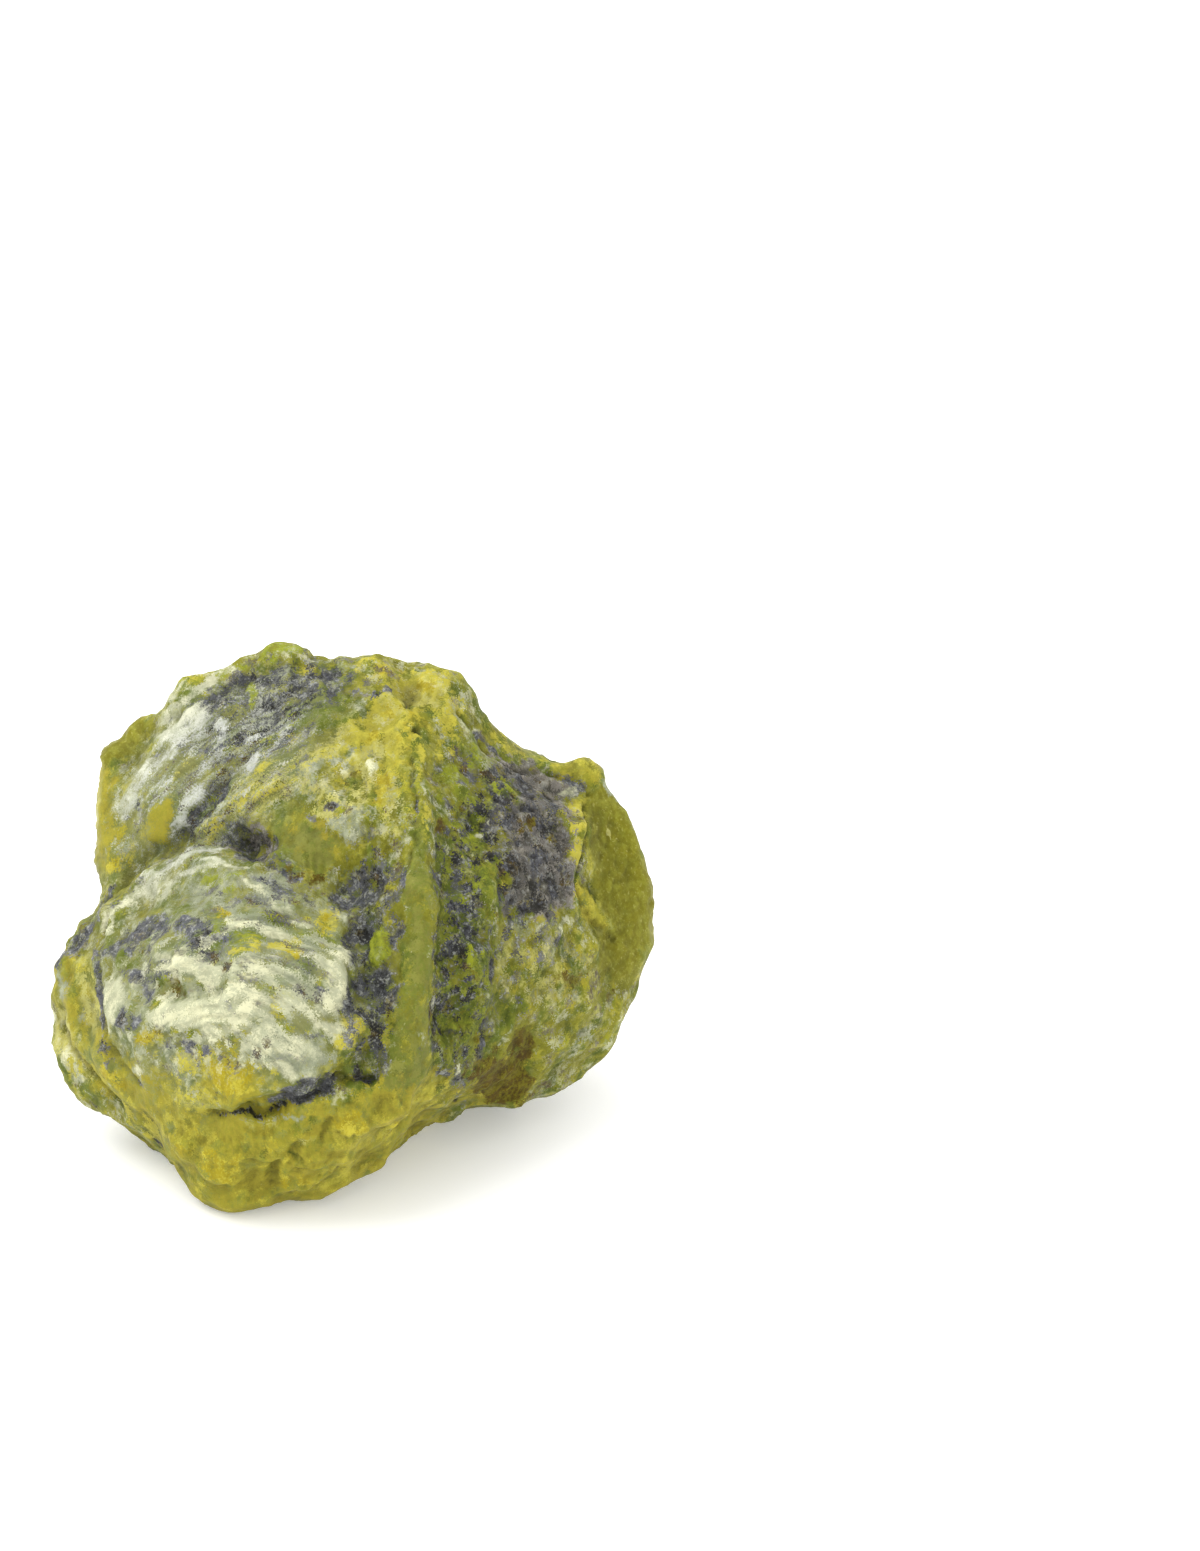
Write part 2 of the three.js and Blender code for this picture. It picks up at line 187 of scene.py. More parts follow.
# Where each kind of stone shows on the display side: (right, up, half length, half width, lean in degrees,
# share). A kind's place in the table picks its seed on the hidden sides. LAYING says what lies over what.
# On the cheek right of the ridge the dark marks are darker than the stone itself: partly a painted shadow of
# the neighbouring stones.
MARKS = {
    "gold": [
        (-9, -21.5, 12, 4.5, 2, 1.1), (3, -18.5, 7, 3.5, 25, 1.1), (4, -21, 6, 3, 35, 1.1),
        (-20, -17.5, 6, 3, -45, 0.9), (-27, -9, 8, 2, 105, 0.8), (-12.5, -15, 4, 3, -20, 1.15),
        (12, -16.5, 4, 1.6, 10, 0.7), (-6, -26, 11, 3.2, 3, 1.2), (-19.4, 10.7, 2.6, 1.4, 60, 1.1),
        (-25.4, 12, 7, 2, 95, 0.9), (4, 20, 7, 4, 50, 0.5), (-4.6, 9.5, 4, 2.5, -10, 0.6),
        (22.3, 15.8, 2.6, 1, -12, 0.9), (18, -4, 5, 5, 0, 0.35), (23.4, 2.4, 3.4, 0.9, -58, 0.9),
    ],
    "moss": [
        (6.5, 9, 4, 0.9, 92, 0.8), (6, 4, 3, 1.5, 90, 1), (6.2, -0.6, 3, 1.4, 92, 0.95),
        (6.4, -4.4, 2.6, 2, 90, 1), (5.4, -8.8, 3, 2.1, 82, 0.95), (5, -12.8, 3.2, 2.5, 85, 1),
        (12, -2, 12, 3.5, 92, 0.5), (-5.2, 8.3, 3.6, 2.2, -8, 1.1),
    ],
    "milky": [
        (-13, -3.4, 13, 9.4, 18, 0.75), (-11, 17, 14, 8, 32, 0.3), (19, -3, 5, 4, 0, 0.3),
        (-27.8, -13, 2, 1.2, -60, 0.85), (-0.5, 16.8, 2.6, 1.4, 40, 0.8), (-26.8, -7.8, 3, 1, 100, 0.7),
        (26.2, 13, 2.6, 0.4, -52, 0.9), (28.5, 8.6, 3, 0.3, -70, 0.9), (-14, 5, 3.8, 2.2, -15, 0.65),
        (-8.2, 4, 3, 1.9, -30, 0.95), (-7.3, 25.6, 1.4, 0.8, 20, 0.8), (-4.2, 16.4, 2.2, 0.9, 20, 0.8),
        (-3, 14, 2, 0.6, -20, 0.9), (-0.8, 10.8, 2.6, 1.8, -30, 1), (2.4, 9.6, 1.6, 0.5, 80, 0.8),
        (12.6, 17, 2.6, 1.2, -45, 0.5), (-9.2, 17.1, 3, 0.5, 40, 0.8), (-11.8, 16, 2.4, 0.5, 42, 0.7),
        (-20.1, 14.8, 1.8, 0.9, 50, 0.8), (-6.9, -11.8, 5, 2.6, -20, 1.05),
        (-24, -6.8, 2.1, 1.5, 90, 0.9), (-12, -1, 2.4, 0.5, 0, 0.6), (-4.4, -5, 2.2, 1.1, 60, 0.7),
        (-16.5, -2.2, 2.4, 0.5, -20, 0.7), (-9, 20, 2, 0.5, 40, 0.5), (-21.5, -14.4, 1.3, 0.5, -60, 0.8),
        (18.5, 0.4, 3.2, 1.1, 0, 0.45), (19, -3, 3.4, 2.2, 0, 0.2), (-29.2, -5.6, 1.7, 0.6, 100, 0.8),
        (-28.8, -11.8, 1.1, 0.4, -10, 0.9), (-8.5, -18.9, 3.8, 0.35, 4, 0.8),
        (-22.5, 8.6, 1.5, 0.6, 45, 0.7), (-19, -12.8, 1.9, 0.5, -60, 0.6), (8.4, -12.4, 2, 0.5, 90, 0.6),
        (-12.6, 22, 1.4, 0.4, 40, 0.5), (-12.6, 24.4, 2, 0.6, 35, 0.6), (-3, 22, 2.4, 1.4, 30, 0.4),
        (-16, 8.2, 3, 0.6, 14, 0.7), (0.6, -7.6, 1.4, 0.5, -10, 0.5),
    ],
    "yellow": [
        (-26.5, 8, 3, 0.9, 95, 0.4), (2.5, 26.1, 2.6, 1, 0, 0.9), (6.6, 24.2, 2.8, 1.8, 5, 1),
        (9.6, 22.8, 1.8, 1.1, -55, 0.8), (3.4, 21.6, 2.4, 2, 55, 1), (0, 19.2, 3.6, 1.4, 42, 0.9),
        (-3.5, 17.6, 2.8, 0.9, 35, 0.6), (3.9, 18.4, 3, 1.2, 88, 0.9), (3.2, 14, 2.8, 1.2, 88, 0.9),
        (1.2, 17.6, 2, 1.2, 45, 0.8), (-4.4, 26.3, 1.1, 0.5, 30, 0.8), (-15.8, 25.2, 2, 0.5, 25, 0.7),
        (-8.7, 14.2, 2.5, 0.9, 20, 1), (-11.6, 12.7, 1.7, 0.7, 35, 0.9), (-14.2, 10.5, 1.4, 1.1, 60, 0.8),
        (-9.2, 17.3, 2.8, 0.8, 40, 0.6), (-16.8, 16.6, 1.3, 0.8, 30, 0.6), (-6.9, 19, 2.2, 0.7, 40, 0.7),
        (-22.9, 8, 1.6, 0.8, 50, 0.6), (-7.1, -1.5, 1.6, 0.7, 10, 0.9), (-2.8, 1.1, 1.5, 1.2, 80, 0.9),
        (-11, -2.2, 1.8, 1, 15, 0.7), (-0.9, -10.3, 1.7, 1.3, 60, 0.9), (-7.8, -7.2, 1.5, 1, 80, 0.7),
        (-12.6, -15, 2.7, 2.1, -30, 0.35), (-9.2, -14.4, 1.9, 1.1, 80, 0.4),
        (-16, -13.2, 3.6, 1.5, -8, 0.65), (-18.5, -14.6, 3, 1.6, -70, 0.4), (-16, -17, 3, 1.3, -20, 0.6),
        (-26.9, -7.6, 5.2, 1.1, 100, 0.4), (-25, -14, 3, 1.2, -60, 0.5), (-22.6, -17.7, 2.6, 1, -50, 0.5),
        (-27.7, -13.8, 1.7, 0.9, -60, 0.6), (-16.5, -20.5, 4, 1.8, -40, 0.5),
        (1.5, -19.4, 4.6, 2, 25, 0.3), (-2, -24.4, 4, 1.4, 15, 0.6), (-20.5, -19.5, 2.4, 1.4, -45, 0.5),
        (10.8, 6.4, 1.3, 0.6, 90, 0.8), (18.8, 14.7, 0.9, 0.6, 0, 0.9), (15.4, 4.7, 0.7, 0.5, 0, 0.8),
        (22, 11.3, 2, 0.9, 85, 1.3), (21.9, 7.5, 1.8, 0.5, 90, 1.1), (23.3, 2.6, 3.4, 0.7, -58, 0.5),
        (22.5, 16.1, 2.2, 0.7, -12, 0.8), (15.5, 18.8, 3.8, 0.6, -40, 0.7),
        (8.3, 20.4, 2.8, 1.1, 90, 0.7), (9, 17.4, 2, 0.9, 90, 0.5), (7.3, 11.8, 2, 0.5, 90, 0.8),
        (6.3, 17.4, 2, 0.5, 90, 0.8), (12, -16.4, 2.4, 1, 10, 0.5), (7.4, -16.8, 2.2, 1.4, 20, 0.6),
        (17.3, 9.6, 0.9, 0.5, 0, 0.5), (4.4, -14, 4, 0.8, 80, 0.25), (19, -2.6, 3, 1.8, 0, 0.4),
    ],
    "straw": [
        (-26.6, -7.6, 4.4, 1, 100, 0.8), (-29.2, -10.5, 2.6, 1.6, -60, 0.9),
        (1.6, 17.6, 3.4, 1.2, 45, 0.7), (-2, 19, 3.6, 1, 42, 0.6), (3.2, 22.4, 2, 1.6, 50, 0.5),
        (6.6, 23.6, 2.4, 1.2, 0, 0.95), (-9, 14.4, 6, 3, 35, 0.5), (-1, 14, 4, 2.4, 40, 0.7),
        (3.4, 12, 3, 1.4, 88, 0.6), (-7.2, 26.6, 3, 1.4, 10, 0.5), (-10, -19.4, 3, 0.9, 5, 0.5),
        (-4, -21, 3, 0.8, 10, 0.4), (2, -20.4, 3, 0.8, 30, 0.3), (18.2, -3.4, 5, 4, 0, 0.6),
        (-25.9, 9, 3, 0.6, 95, 0.4), (24.8, 10, 1.1, 0.15, -15, 1.02), (25.6, 9.2, 0.9, 0.12, -40, 1),
        (-25.6, 12, 3, 0.7, 95, 0.9), (-27.4, -13.6, 2, 1, -60, 0.6),
    ],
    "amber": [
        (7, 24.4, 1.5, 1, 0, 0.6), (3.2, 26.1, 1.3, 0.6, 0, 0.8), (3.6, 22.2, 1.2, 0.8, 50, 0.7),
        (2.6, 14.5, 1.7, 0.7, 80, 0.7), (-13.4, 1.6, 1.2, 0.6, -10, 1), (-6, -2.3, 1, 0.5, -20, 0.9),
        (-12.4, -14.6, 2.3, 2, -40, 1), (-2.8, 0.9, 1, 0.7, 80, 0.7), (-0.6, -9.4, 1, 0.5, -40, 0.5),
        (-0.4, -19.1, 1.6, 1.1, 20, 0.7), (-17, -21.6, 1, 0.7, 0, 0.9), (-13.2, -23.2, 2, 1.5, 0, 0.7),
        (-5.4, -24.8, 1.7, 1, 20, 0.6), (3.9, -18.3, 1.4, 0.9, 40, 0.6), (-24, 6.4, 1.1, 0.8, 90, 0.8),
        (14.8, -15.5, 2, 1.2, -20, 0.9), (-24, -14.6, 2.2, 0.8, -55, 0.6),
        (-21.2, -18.4, 1.4, 0.8, -50, 0.6), (-20.6, -10.4, 1.2, 0.6, 10, 0.8),
        (5.2, 20.8, 1.2, 0.5, 90, 0.6), (1.4, 19.4, 1.4, 0.4, 45, 0.5),
    ],
    # Brown streaks. The marks at the lower right of the cheek, near (15, -13), are partly brown stone and
    # partly a painted shadow of the neighbouring stones.
    "umber": [
        (28, 3.4, 3.6, 1.6, 105, 0.45), (16.8, -11.6, 2.4, 1.4, 80, 1), (14.6, -15.2, 3, 2.4, 0, 1.6),
        (-18.9, -5.7, 1.7, 0.8, -20, 0.4), (-20.5, -10.7, 1.5, 0.6, 10, 0.3),
        (-0.6, 15.2, 1.4, 0.5, 40, 0.6), (-7.9, -24.5, 1.4, 0.6, 80, 0.45),
        (16.9, 10, 1.5, 0.25, 48, 0.9), (21.5, -5, 1.8, 1, 0, 0.5), (-2.9, -19.9, 1.3, 0.6, 80, 0.5),
        (9, 10.4, 1, 0.6, 60, 0.7), (-4.8, 5.6, 2.8, 0.8, -12, 0.4), (14, -13, 1.6, 1, 60, 0.5),
    ],
    "slate": [
        (-10.4, 8.8, 3.4, 1.7, -25, 0.95), (-11.8, 10.2, 1.8, 0.8, -15, 1),
        (-7.2, 6.2, 2.4, 0.7, -40, 0.8), (-15, 0, 10, 4.5, 20, 0.35), (-9, 22, 9, 4.5, 20, 0.75),
        (14, 3, 13, 7, 100, 0.4), (1.5, -4, 12, 3, 88, 0.7), (11, -3, 14, 3, 92, 0.9),
        (16.5, 9, 8, 5, 108, 0.85), (9.5, -4, 12, 2, 90, 0.5), (10.5, -12, 4, 3, 0, 0.7),
        (-13, -8, 12, 7, 0, 0.2), (-14, 13, 10, 5, 40, 0.25), (-12.3, 24.2, 2.7, 0.9, 35, 0.85),
        (-9, 21.5, 2.1, 1.4, 30, 1.2), (-5.5, 23.9, 2, 0.7, 15, 0.85), (-8.6, 25.9, 1.4, 0.4, 35, 0.8),
        (-2.4, 25.3, 1.3, 0.8, 30, 0.9), (-14.4, 22.9, 2.2, 0.5, 35, 0.8), (-17.4, 22, 2, 0.3, 40, 0.7),
        (-16.4, 19.2, 1.6, 0.25, 40, 0.6), (-14.6, 18.5, 0.9, 0.5, 50, 0.9),
        (-15.4, 11.9, 4.4, 0.8, 50, 1), (-13.2, 14.4, 1.3, 0.9, 40, 0.9), (-21.7, 12.4, 0.5, 0.35, 40, 1),
        (-22.9, 11.3, 0.5, 0.35, 30, 1), (2.6, 23.8, 1.1, 0.4, 30, 0.9), (-2.3, 12.4, 1, 0.4, -5, 0.9),
        (-5.2, 17, 0.9, 0.4, 30, 0.6), (-6.6, 22.6, 1.2, 0.5, 30, 0.6), (-19.9, 17.3, 1, 0.3, 45, 0.6),
        (-4.4, 11.2, 1.4, 0.4, -20, 0.4), (-11, 19.6, 1.4, 0.4, 40, 0.5), (-15, -0.4, 3, 1.2, -12, 1.3),
        (-23.2, -1.6, 2.2, 1.1, 42, 0.95), (-20.2, 0.2, 2.2, 0.9, 35, 0.9),
        (-21.3, -4.7, 2, 0.9, -15, 0.95), (-19.3, -3.4, 1.4, 0.7, -20, 0.9), (-21, -6, 1.2, 0.5, 85, 0.9),
        (-22.7, -9.1, 1.4, 1, 0, 0.95), (-8.6, 4.6, 2.6, 0.5, -25, 0.6), (-6.2, 3.6, 2.2, 0.5, -22, 0.65),
        (-9.2, 2.4, 2.2, 0.5, -20, 0.45), (-4.7, -3.3, 1.3, 0.8, 80, 0.85),
        (-3.6, -6.3, 0.9, 0.6, 0, 0.9), (-4.9, -6, 1.4, 0.7, 0, 0.7), (-25.6, -6, 5.4, 0.45, 92, 0.8),
        (-24.6, -12, 2.4, 0.4, -70, 0.8), (-16.4, -11.7, 2.2, 0.7, -10, 1),
        (-15.6, -13, 1.1, 0.35, 85, 0.8), (-19.2, -11.9, 1.6, 0.4, 0, 0.6),
        (-21.4, -15.4, 0.6, 0.4, 0, 0.9), (-21.8, 4.7, 4, 0.3, 47, 0.65),
        (-27.2, -0.9, 3.8, 0.6, 55, 0.85), (-24.6, 3.2, 1.6, 0.3, 50, 0.7),
        (-4.4, -10.6, 1.8, 0.25, -15, 0.6), (1, 4.4, 2.7, 2.2, 80, 0.95), (-1.2, 3.4, 1.5, 1.1, 60, 0.85),
        (0.5, -0.6, 2.2, 0.8, 10, 0.9), (1.9, -5.3, 2.3, 1.7, 20, 1), (0.5, -7.4, 2, 0.7, -15, 0.85),
        (1.9, -10.5, 2.6, 0.6, 88, 0.9), (1.2, -14.5, 1.1, 0.9, 0, 1), (2.9, 7.2, 1.4, 0.4, 60, 0.6),
        (-4.7, -16, 3.4, 1.1, 22, 1.1), (-7.6, -16.9, 1.6, 0.5, 15, 0.8), (9.1, 8.2, 3.3, 0.7, 90, 0.85),
        (9.9, 1.2, 2.4, 0.6, 90, 0.6), (9.3, -4.6, 1.7, 1, 90, 0.85), (13.9, -3.3, 2.6, 0.45, 88, 0.8),
        (9.7, -9, 2.1, 1.3, 70, 0.85), (13, -10, 2, 1, -60, 0.7), (9.6, -13, 2.5, 1.1, 85, 0.85),
        (10.4, -15.4, 1.3, 0.7, 60, 0.8), (6.1, 13, 2.4, 0.25, 92, 0.7), (4.2, -6.4, 1.4, 0.6, 60, 0.8),
        (8.2, 1, 1.2, 0.5, 100, 0.8), (4, -1, 1.6, 0.6, 80, 0.8), (8, -9.6, 1.5, 0.5, 70, 0.8),
        (8, 4.8, 1.8, 0.5, 95, 0.8), (4.9, 5.4, 1.2, 0.4, 95, 0.7), (17.8, 9, 3.8, 2.4, 0, 0.55),
        (21.4, 14.7, 2, 1, -20, 0.8), (20.8, 10.5, 2, 0.7, 90, 0.5), (14, 12.2, 1.5, 0.5, 88, 0.7),
        (20.5, -1.5, 1.8, 1, 0, 0.45), (12.9, 18.9, 3.6, 0.25, -43, 0.9), (8.3, 16, 1.1, 0.5, 80, 0.6),
        (11.5, 15.4, 3.5, 1.6, -50, 0.6), (16, -1.8, 1.6, 0.6, 30, 0.4),
    ],
    "violet": [
        (17.4, 10, 4.2, 3.4, 100, 1.15), (17.5, 6, 3, 2.6, 0, 1.1), (19.5, 9, 3, 2, 90, 1.1),
        (18.5, 13.5, 3, 2.2, -30, 1), (15.2, 16.2, 2.2, 0.8, -45, 0.9), (18.4, 4, 3.8, 2.6, 10, 1.3),
        (17.4, 15.1, 2.7, 1.5, -30, 1.2), (20.6, 6.4, 1.7, 1.3, 80, 0.9), (16.2, 1.9, 1.7, 0.9, -10, 0.8),
        # The mark at (-9.4, 10.1), in the dark patch under the shoulder, is a painted sheen.
        (-9.4, 10.1, 1.4, 0.5, -15, 0.9), (-9.6, 8.6, 2.4, 1.1, -25, 0.6), (-12.4, 8.4, 1.1, 0.5, 0, 0.9),
        (16, 12.6, 1.4, 0.8, 80, 0.6), (18.6, 8.6, 2.6, 1, 20, 0.5), (-9, 22, 1.2, 0.6, 30, 0.5),
    ],
    "charcoal": [
        (15.5, 8, 8, 5, 105, 0.6), (18.6, 3.6, 2.6, 1.2, 0, 0.7), (11.6, 9.5, 4, 2, 100, 0.6),
        (1.5, -4, 11, 2.5, 88, 0.5), (10.6, -3, 13, 2.4, 92, 0.75), (10, -10.5, 5, 2.6, 90, 0.7),
        (-9, 22.5, 7, 3.5, 25, 0.5), (-9, 21.6, 1.8, 1.1, 30, 0.7), (-16, -1, 8, 4, 20, 0.15),
        (-14, 12, 6, 2, 50, 0.2), (16, 14.8, 2.4, 0.8, -40, 0.8), (19, 11.5, 2.2, 1.4, -60, 0.7),
        (10.6, -12, 4, 2.4, 95, 0.65), (-11.2, 9.2, 2.2, 1, -22, 0.1), (-15, -0.6, 1.8, 0.6, -12, 0.6),
        (-21.2, -4.8, 1.2, 0.5, -15, 0.6), (-19.2, -3.6, 0.8, 0.4, 0, 0.6), (-22.8, -9, 0.8, 0.6, 0, 0.6),
        (-12.7, 22.5, 0.9, 0.5, 40, 0.6), (12.2, 11.2, 1.7, 0.8, 0, 1), (17.2, 12, 0.8, 0.4, 0, 1),
        # The thin lines at (-11, -18.4) and (-7.7, -17.8) lie along the crack under the dome: a painted
        # shadow of its overhang.
        (-4.2, -16.3, 1.7, 0.5, 25, 0.25), (-11, -18.4, 3.4, 0.25, 2, 0.95),
        (-7.7, -17.8, 1.5, 0.35, 12, 0.95), (1.4, 5.4, 1.3, 1, 0, 0.75), (2.4, -5, 1.4, 1.2, 0, 0.8),
        (0.6, 0.6, 0.9, 0.8, 0, 0.7), (1.3, -14.6, 0.8, 0.7, 0, 0.3), (5.4, 22.7, 0.5, 0.35, 50, 1),
        (6.2, 20, 0.5, 0.5, 0, 1), (-13.9, -16.4, 0.3, 0.3, 0, 0.9), (10.1, -17.6, 0.5, 0.35, 0, 1),
        (-2.4, 25.2, 0.7, 0.5, 0, 0.7), (13.9, -3.8, 2, 0.25, 88, 0.6), (9.6, -9.2, 1.3, 0.8, 60, 0.7),
        (12.8, -10.2, 1.5, 0.8, -50, 0.8), (16.9, -12.4, 1.8, 0.7, 80, 0.7),
        (-19.9, -21.6, 0.8, 0.35, -30, 0.8), (-26.2, -17.1, 1.3, 0.4, -45, 0.6),
        (-2.3, 12.4, 0.6, 0.25, 0, 0.6), (-11.6, 23.9, 1, 0.25, 35, 0.6),
        (-23.4, -1.8, 0.9, 0.4, 42, 0.5), (9.4, -15, 1, 0.5, 60, 0.6),
    ],
    "green": [
        (-13, -2, 12, 7, 15, 0.25), (11, 0, 16, 3, 95, 0.5), (18, -4, 4, 4, 0, 0.3),
        (10.6, -10.6, 3, 2.4, 90, 0.7), (6.3, -2, 9, 1.6, 90, 0.3), (-2.9, 22, 2.8, 1.8, 30, 0.8),
        (-1, 21.4, 1.8, 1.3, 45, 0.8), (-5.4, 21.4, 1.6, 1.3, 30, 0.6), (-6.9, 11.8, 2.2, 1.2, 10, 0.6),
        (-22.6, -3.2, 1.4, 0.9, 10, 1), (-18.9, -5.7, 2, 1, -20, 0.9), (13.3, 4.8, 2.2, 1.3, 80, 1.3),
        (11.9, -3.8, 1.8, 0.9, 85, 1.1), (11.5, 17.2, 0.8, 0.5, 80, 0.9), (13.1, 16.5, 0.8, 0.5, 30, 0.9),
        (10.7, 13, 2, 1.3, 80, 0.7), (12.4, 8, 1.3, 1, 60, 0.7), (-5.2, -19.6, 2.6, 0.9, 0, 0.5),
        (-5.8, -22, 1, 0.7, 60, 0.5), (9.8, 2.6, 2.6, 1, 90, 0.6), (17, -5, 3.6, 2.4, 0, 0.4),
        (-15.6, 12.2, 1.4, 0.8, 40, 0.5), (-12.8, 18.8, 2, 0.8, 40, 0.5), (11.6, -9, 1.9, 1.2, 60, 0.8),
        (-26, -17, 1.6, 0.7, -45, 0.8), (-17.5, 1.6, 1.8, 0.8, 20, 0.7), (-24.4, -0.6, 2.4, 0.6, 60, 0.6),
        (-22.6, 3.4, 3, 0.5, 50, 0.6), (14.8, -8, 2, 1.4, -70, 0.6), (6.4, -1, 5, 0.7, 90, 0.3),
    ],
    "lime": [
        (12, 5, 10, 2, 95, 0.15), (17.5, 12, 4, 2.5, -40, 0.15), (2.5, -1.7, 1.7, 1.1, 80, 1),
        (12.6, 6, 1.8, 1, 85, 0.5), (12.8, 17, 3, 1.4, -45, 0.35), (-10.3, 23.6, 1.2, 0.6, 80, 0.9),
        (-7.4, 27.8, 2.2, 0.8, 4, 0.9), (14.4, 14, 1, 0.7, 0, 0.8), (-12.4, 26.2, 1.9, 0.4, 20, 0.6),
        (-14, 5.2, 2.4, 1.2, -12, 0.6), (9.8, 15.6, 1.6, 0.9, 90, 0.6), (0.2, -4, 0.9, 0.5, 40, 0.6),
        (-6.4, 20.6, 1.2, 0.5, 40, 0.5), (11.7, -2.6, 1, 0.7, 60, 0.8),
    ],
    "chalk": [
        (-12, -7, 11, 6, -5, 0.3), (-18, 17, 8, 4, 48, 0.3), (-10, 22, 7, 4, 30, 0.2),
        (-17, 20.3, 2.9, 1.2, 40, 1), (-18.4, 21.4, 1.8, 0.6, 42, 0.85), (-16.4, 23.4, 3, 0.4, 35, 0.7),
        (-18.8, 22.8, 2, 0.35, 45, 0.8), (-13.2, 20.5, 0.8, 0.8, 0, 1), (-21.3, 15, 3.8, 0.7, 50, 0.8),
        (-22.7, 12.4, 1.6, 0.7, 50, 0.85), (-18.4, 17.6, 1.3, 0.4, 30, 0.9),
        (-15.9, 13.5, 1.8, 0.5, 52, 0.9), (-17.6, 10.6, 1.6, 0.45, 52, 0.95),
        (-13.6, 18, 2, 0.5, 60, 0.7), (1.7, 16.4, 0.9, 0.6, 60, 1), (-0.6, 16.9, 1.4, 0.7, 40, 0.5),
        (-9.9, 22.2, 0.7, 0.4, 40, 0.6), (-14.4, 25.4, 1.6, 0.3, 30, 0.6),
        (-10.6, 16.8, 2.2, 0.35, 40, 0.7), (-22.8, 3, 4.4, 0.35, 50, 0.8), (-21, 4.4, 4, 0.3, 46, 0.75),
        (-19.8, 4.2, 2.3, 1.1, 50, 0.55), (-17.8, 7, 3, 0.35, 28, 0.75), (-14.4, 8.2, 2.4, 0.3, -2, 0.8),
        (-24.6, -0.4, 2.4, 0.25, 62, 0.8), (-13, 6.6, 2.6, 0.3, -12, 0.7), (-15.8, 6, 2.2, 0.3, 10, 0.7),
        (-19.1, -2.7, 0.8, 0.7, 0, 1), (-15.5, -4, 2.9, 1.2, -25, 1), (-10.2, 0.3, 2.7, 0.45, -8, 0.9),
        (-15.2, -8.3, 5.9, 1.3, 2, 1.1), (-11.6, -7.2, 2.5, 1.7, 30, 1), (-13.8, -10, 1.9, 0.9, -10, 1),
        (-10.8, -10, 2.4, 0.8, -20, 0.9), (-2.1, -5.6, 2.9, 1.2, 85, 0.9),
        (-3.4, -3.2, 1.4, 0.5, 30, 0.5), (-2.5, -9.7, 1.4, 0.6, -20, 1), (-3.6, -8, 1.4, 0.8, 20, 0.75),
        (-23.9, -6.4, 1.7, 1, 90, 0.85), (-24.3, -8.9, 1.3, 0.5, 90, 0.85),
        (-20.4, -5.6, 0.9, 0.25, 85, 0.95), (-6.8, -11.4, 3.6, 1.1, -18, 0.6),
        (-7.6, -13.6, 2.2, 0.6, -30, 0.75), (-4.6, -12, 1.6, 0.5, -15, 0.65),
        (-21.4, -14.2, 0.9, 0.35, -60, 0.9), (-28, -13.2, 1.6, 0.8, -60, 0.5),
        (-10.4, 4.4, 1.6, 0.3, -30, 0.7), (-7.4, 2.2, 1.8, 0.35, -20, 0.7),
        (-5.4, 0.8, 1.6, 0.35, -10, 0.7), (-8, -0.6, 1.8, 0.35, -5, 0.8), (14.2, 0.2, 2, 0.25, 88, 0.55),
        (18.3, 0.8, 1, 0.5, 70, 0.6), (21.1, 0.6, 0.9, 0.5, 60, 0.6), (12.7, 9.7, 0.6, 0.3, 0, 0.8),
        (13.9, 9.4, 0.3, 0.3, 0, 0.8), (6.9, 14.5, 0.9, 0.3, 90, 0.5), (21.2, 14.2, 1.2, 0.5, -20, 0.75),
        (13.9, 12, 1.4, 0.2, 88, 0.6), (12.6, 19.4, 1.8, 0.2, -42, 0.5),
        (8.4, -12.4, 1.6, 0.25, 90, 0.45), (9.3, 8.4, 0.5, 0.3, 90, 0.5), (10.4, -14, 0.9, 0.3, 70, 0.5),
        (1.9, -9.6, 1.2, 0.25, 90, 0.7), (-20.2, 9.4, 1, 0.3, 50, 0.5),
    ],
    "waxy": [
        (25.8, 7.6, 5.4, 2.2, 102, 1.3), (27.6, 2.8, 4.4, 2.6, 100, 1.3), (26.4, -2.4, 2.6, 2, 120, 1),
        (25, 12.4, 2, 1.4, 110, 1), (6.4, 8, 3, 0.9, 90, 0.3), (6.2, 3.6, 2.6, 1.4, 90, 0.35),
        (6.2, -0.6, 2.8, 1.3, 95, 0.35), (6.3, -4.6, 2.8, 1.8, 85, 0.35), (5.5, -8.8, 2.8, 1.7, 80, 0.3),
        (5.3, -13, 3, 2.2, 80, 0.3), (-26, 12.5, 5, 1, 92, 1), (-25.2, 17, 2, 0.9, 60, 1),
        (-22.6, 18.8, 2.4, 0.8, 45, 1), (-26, 7.4, 2.4, 0.9, 95, 1), (-5.2, 8.3, 3.2, 1.9, -8, 0.4),
        (-19.4, 10.9, 2.6, 1.3, 60, 0.8), (-16.7, 16.4, 1.3, 0.8, 30, 0.9),
        (22.8, 16, 1.8, 0.6, -10, 0.9), (-26.8, -8, 4, 0.8, 100, 0.5), (15.5, 19.2, 3.4, 0.4, -40, 0.6),
    ],
}

# Where a kind is strong, it keeps stray spots of some other kinds away: how much, whether it does so within
# the bundles of fibres too, and which kinds.
RIVALS = {
    "waxy": (1.4, True, [kind for kind in MARKS if kind != "waxy"]),
    "gold": (
        0.55, False, ["milky", "straw", "chalk", "slate", "violet", "charcoal", "umber", "green", "lime"],
    ),
    "umber": (0.7, True, ["slate", "violet", "charcoal", "green", "lime", "milky", "chalk", "straw"]),
    "slate": (0.2, False, ["milky", "yellow", "straw", "amber", "chalk"]),
    "violet": (0.4, False, ["milky", "yellow", "straw", "amber", "chalk", "green", "lime"]),
    "charcoal": (0.3, False, ["milky", "yellow", "straw", "amber", "chalk"]),
}

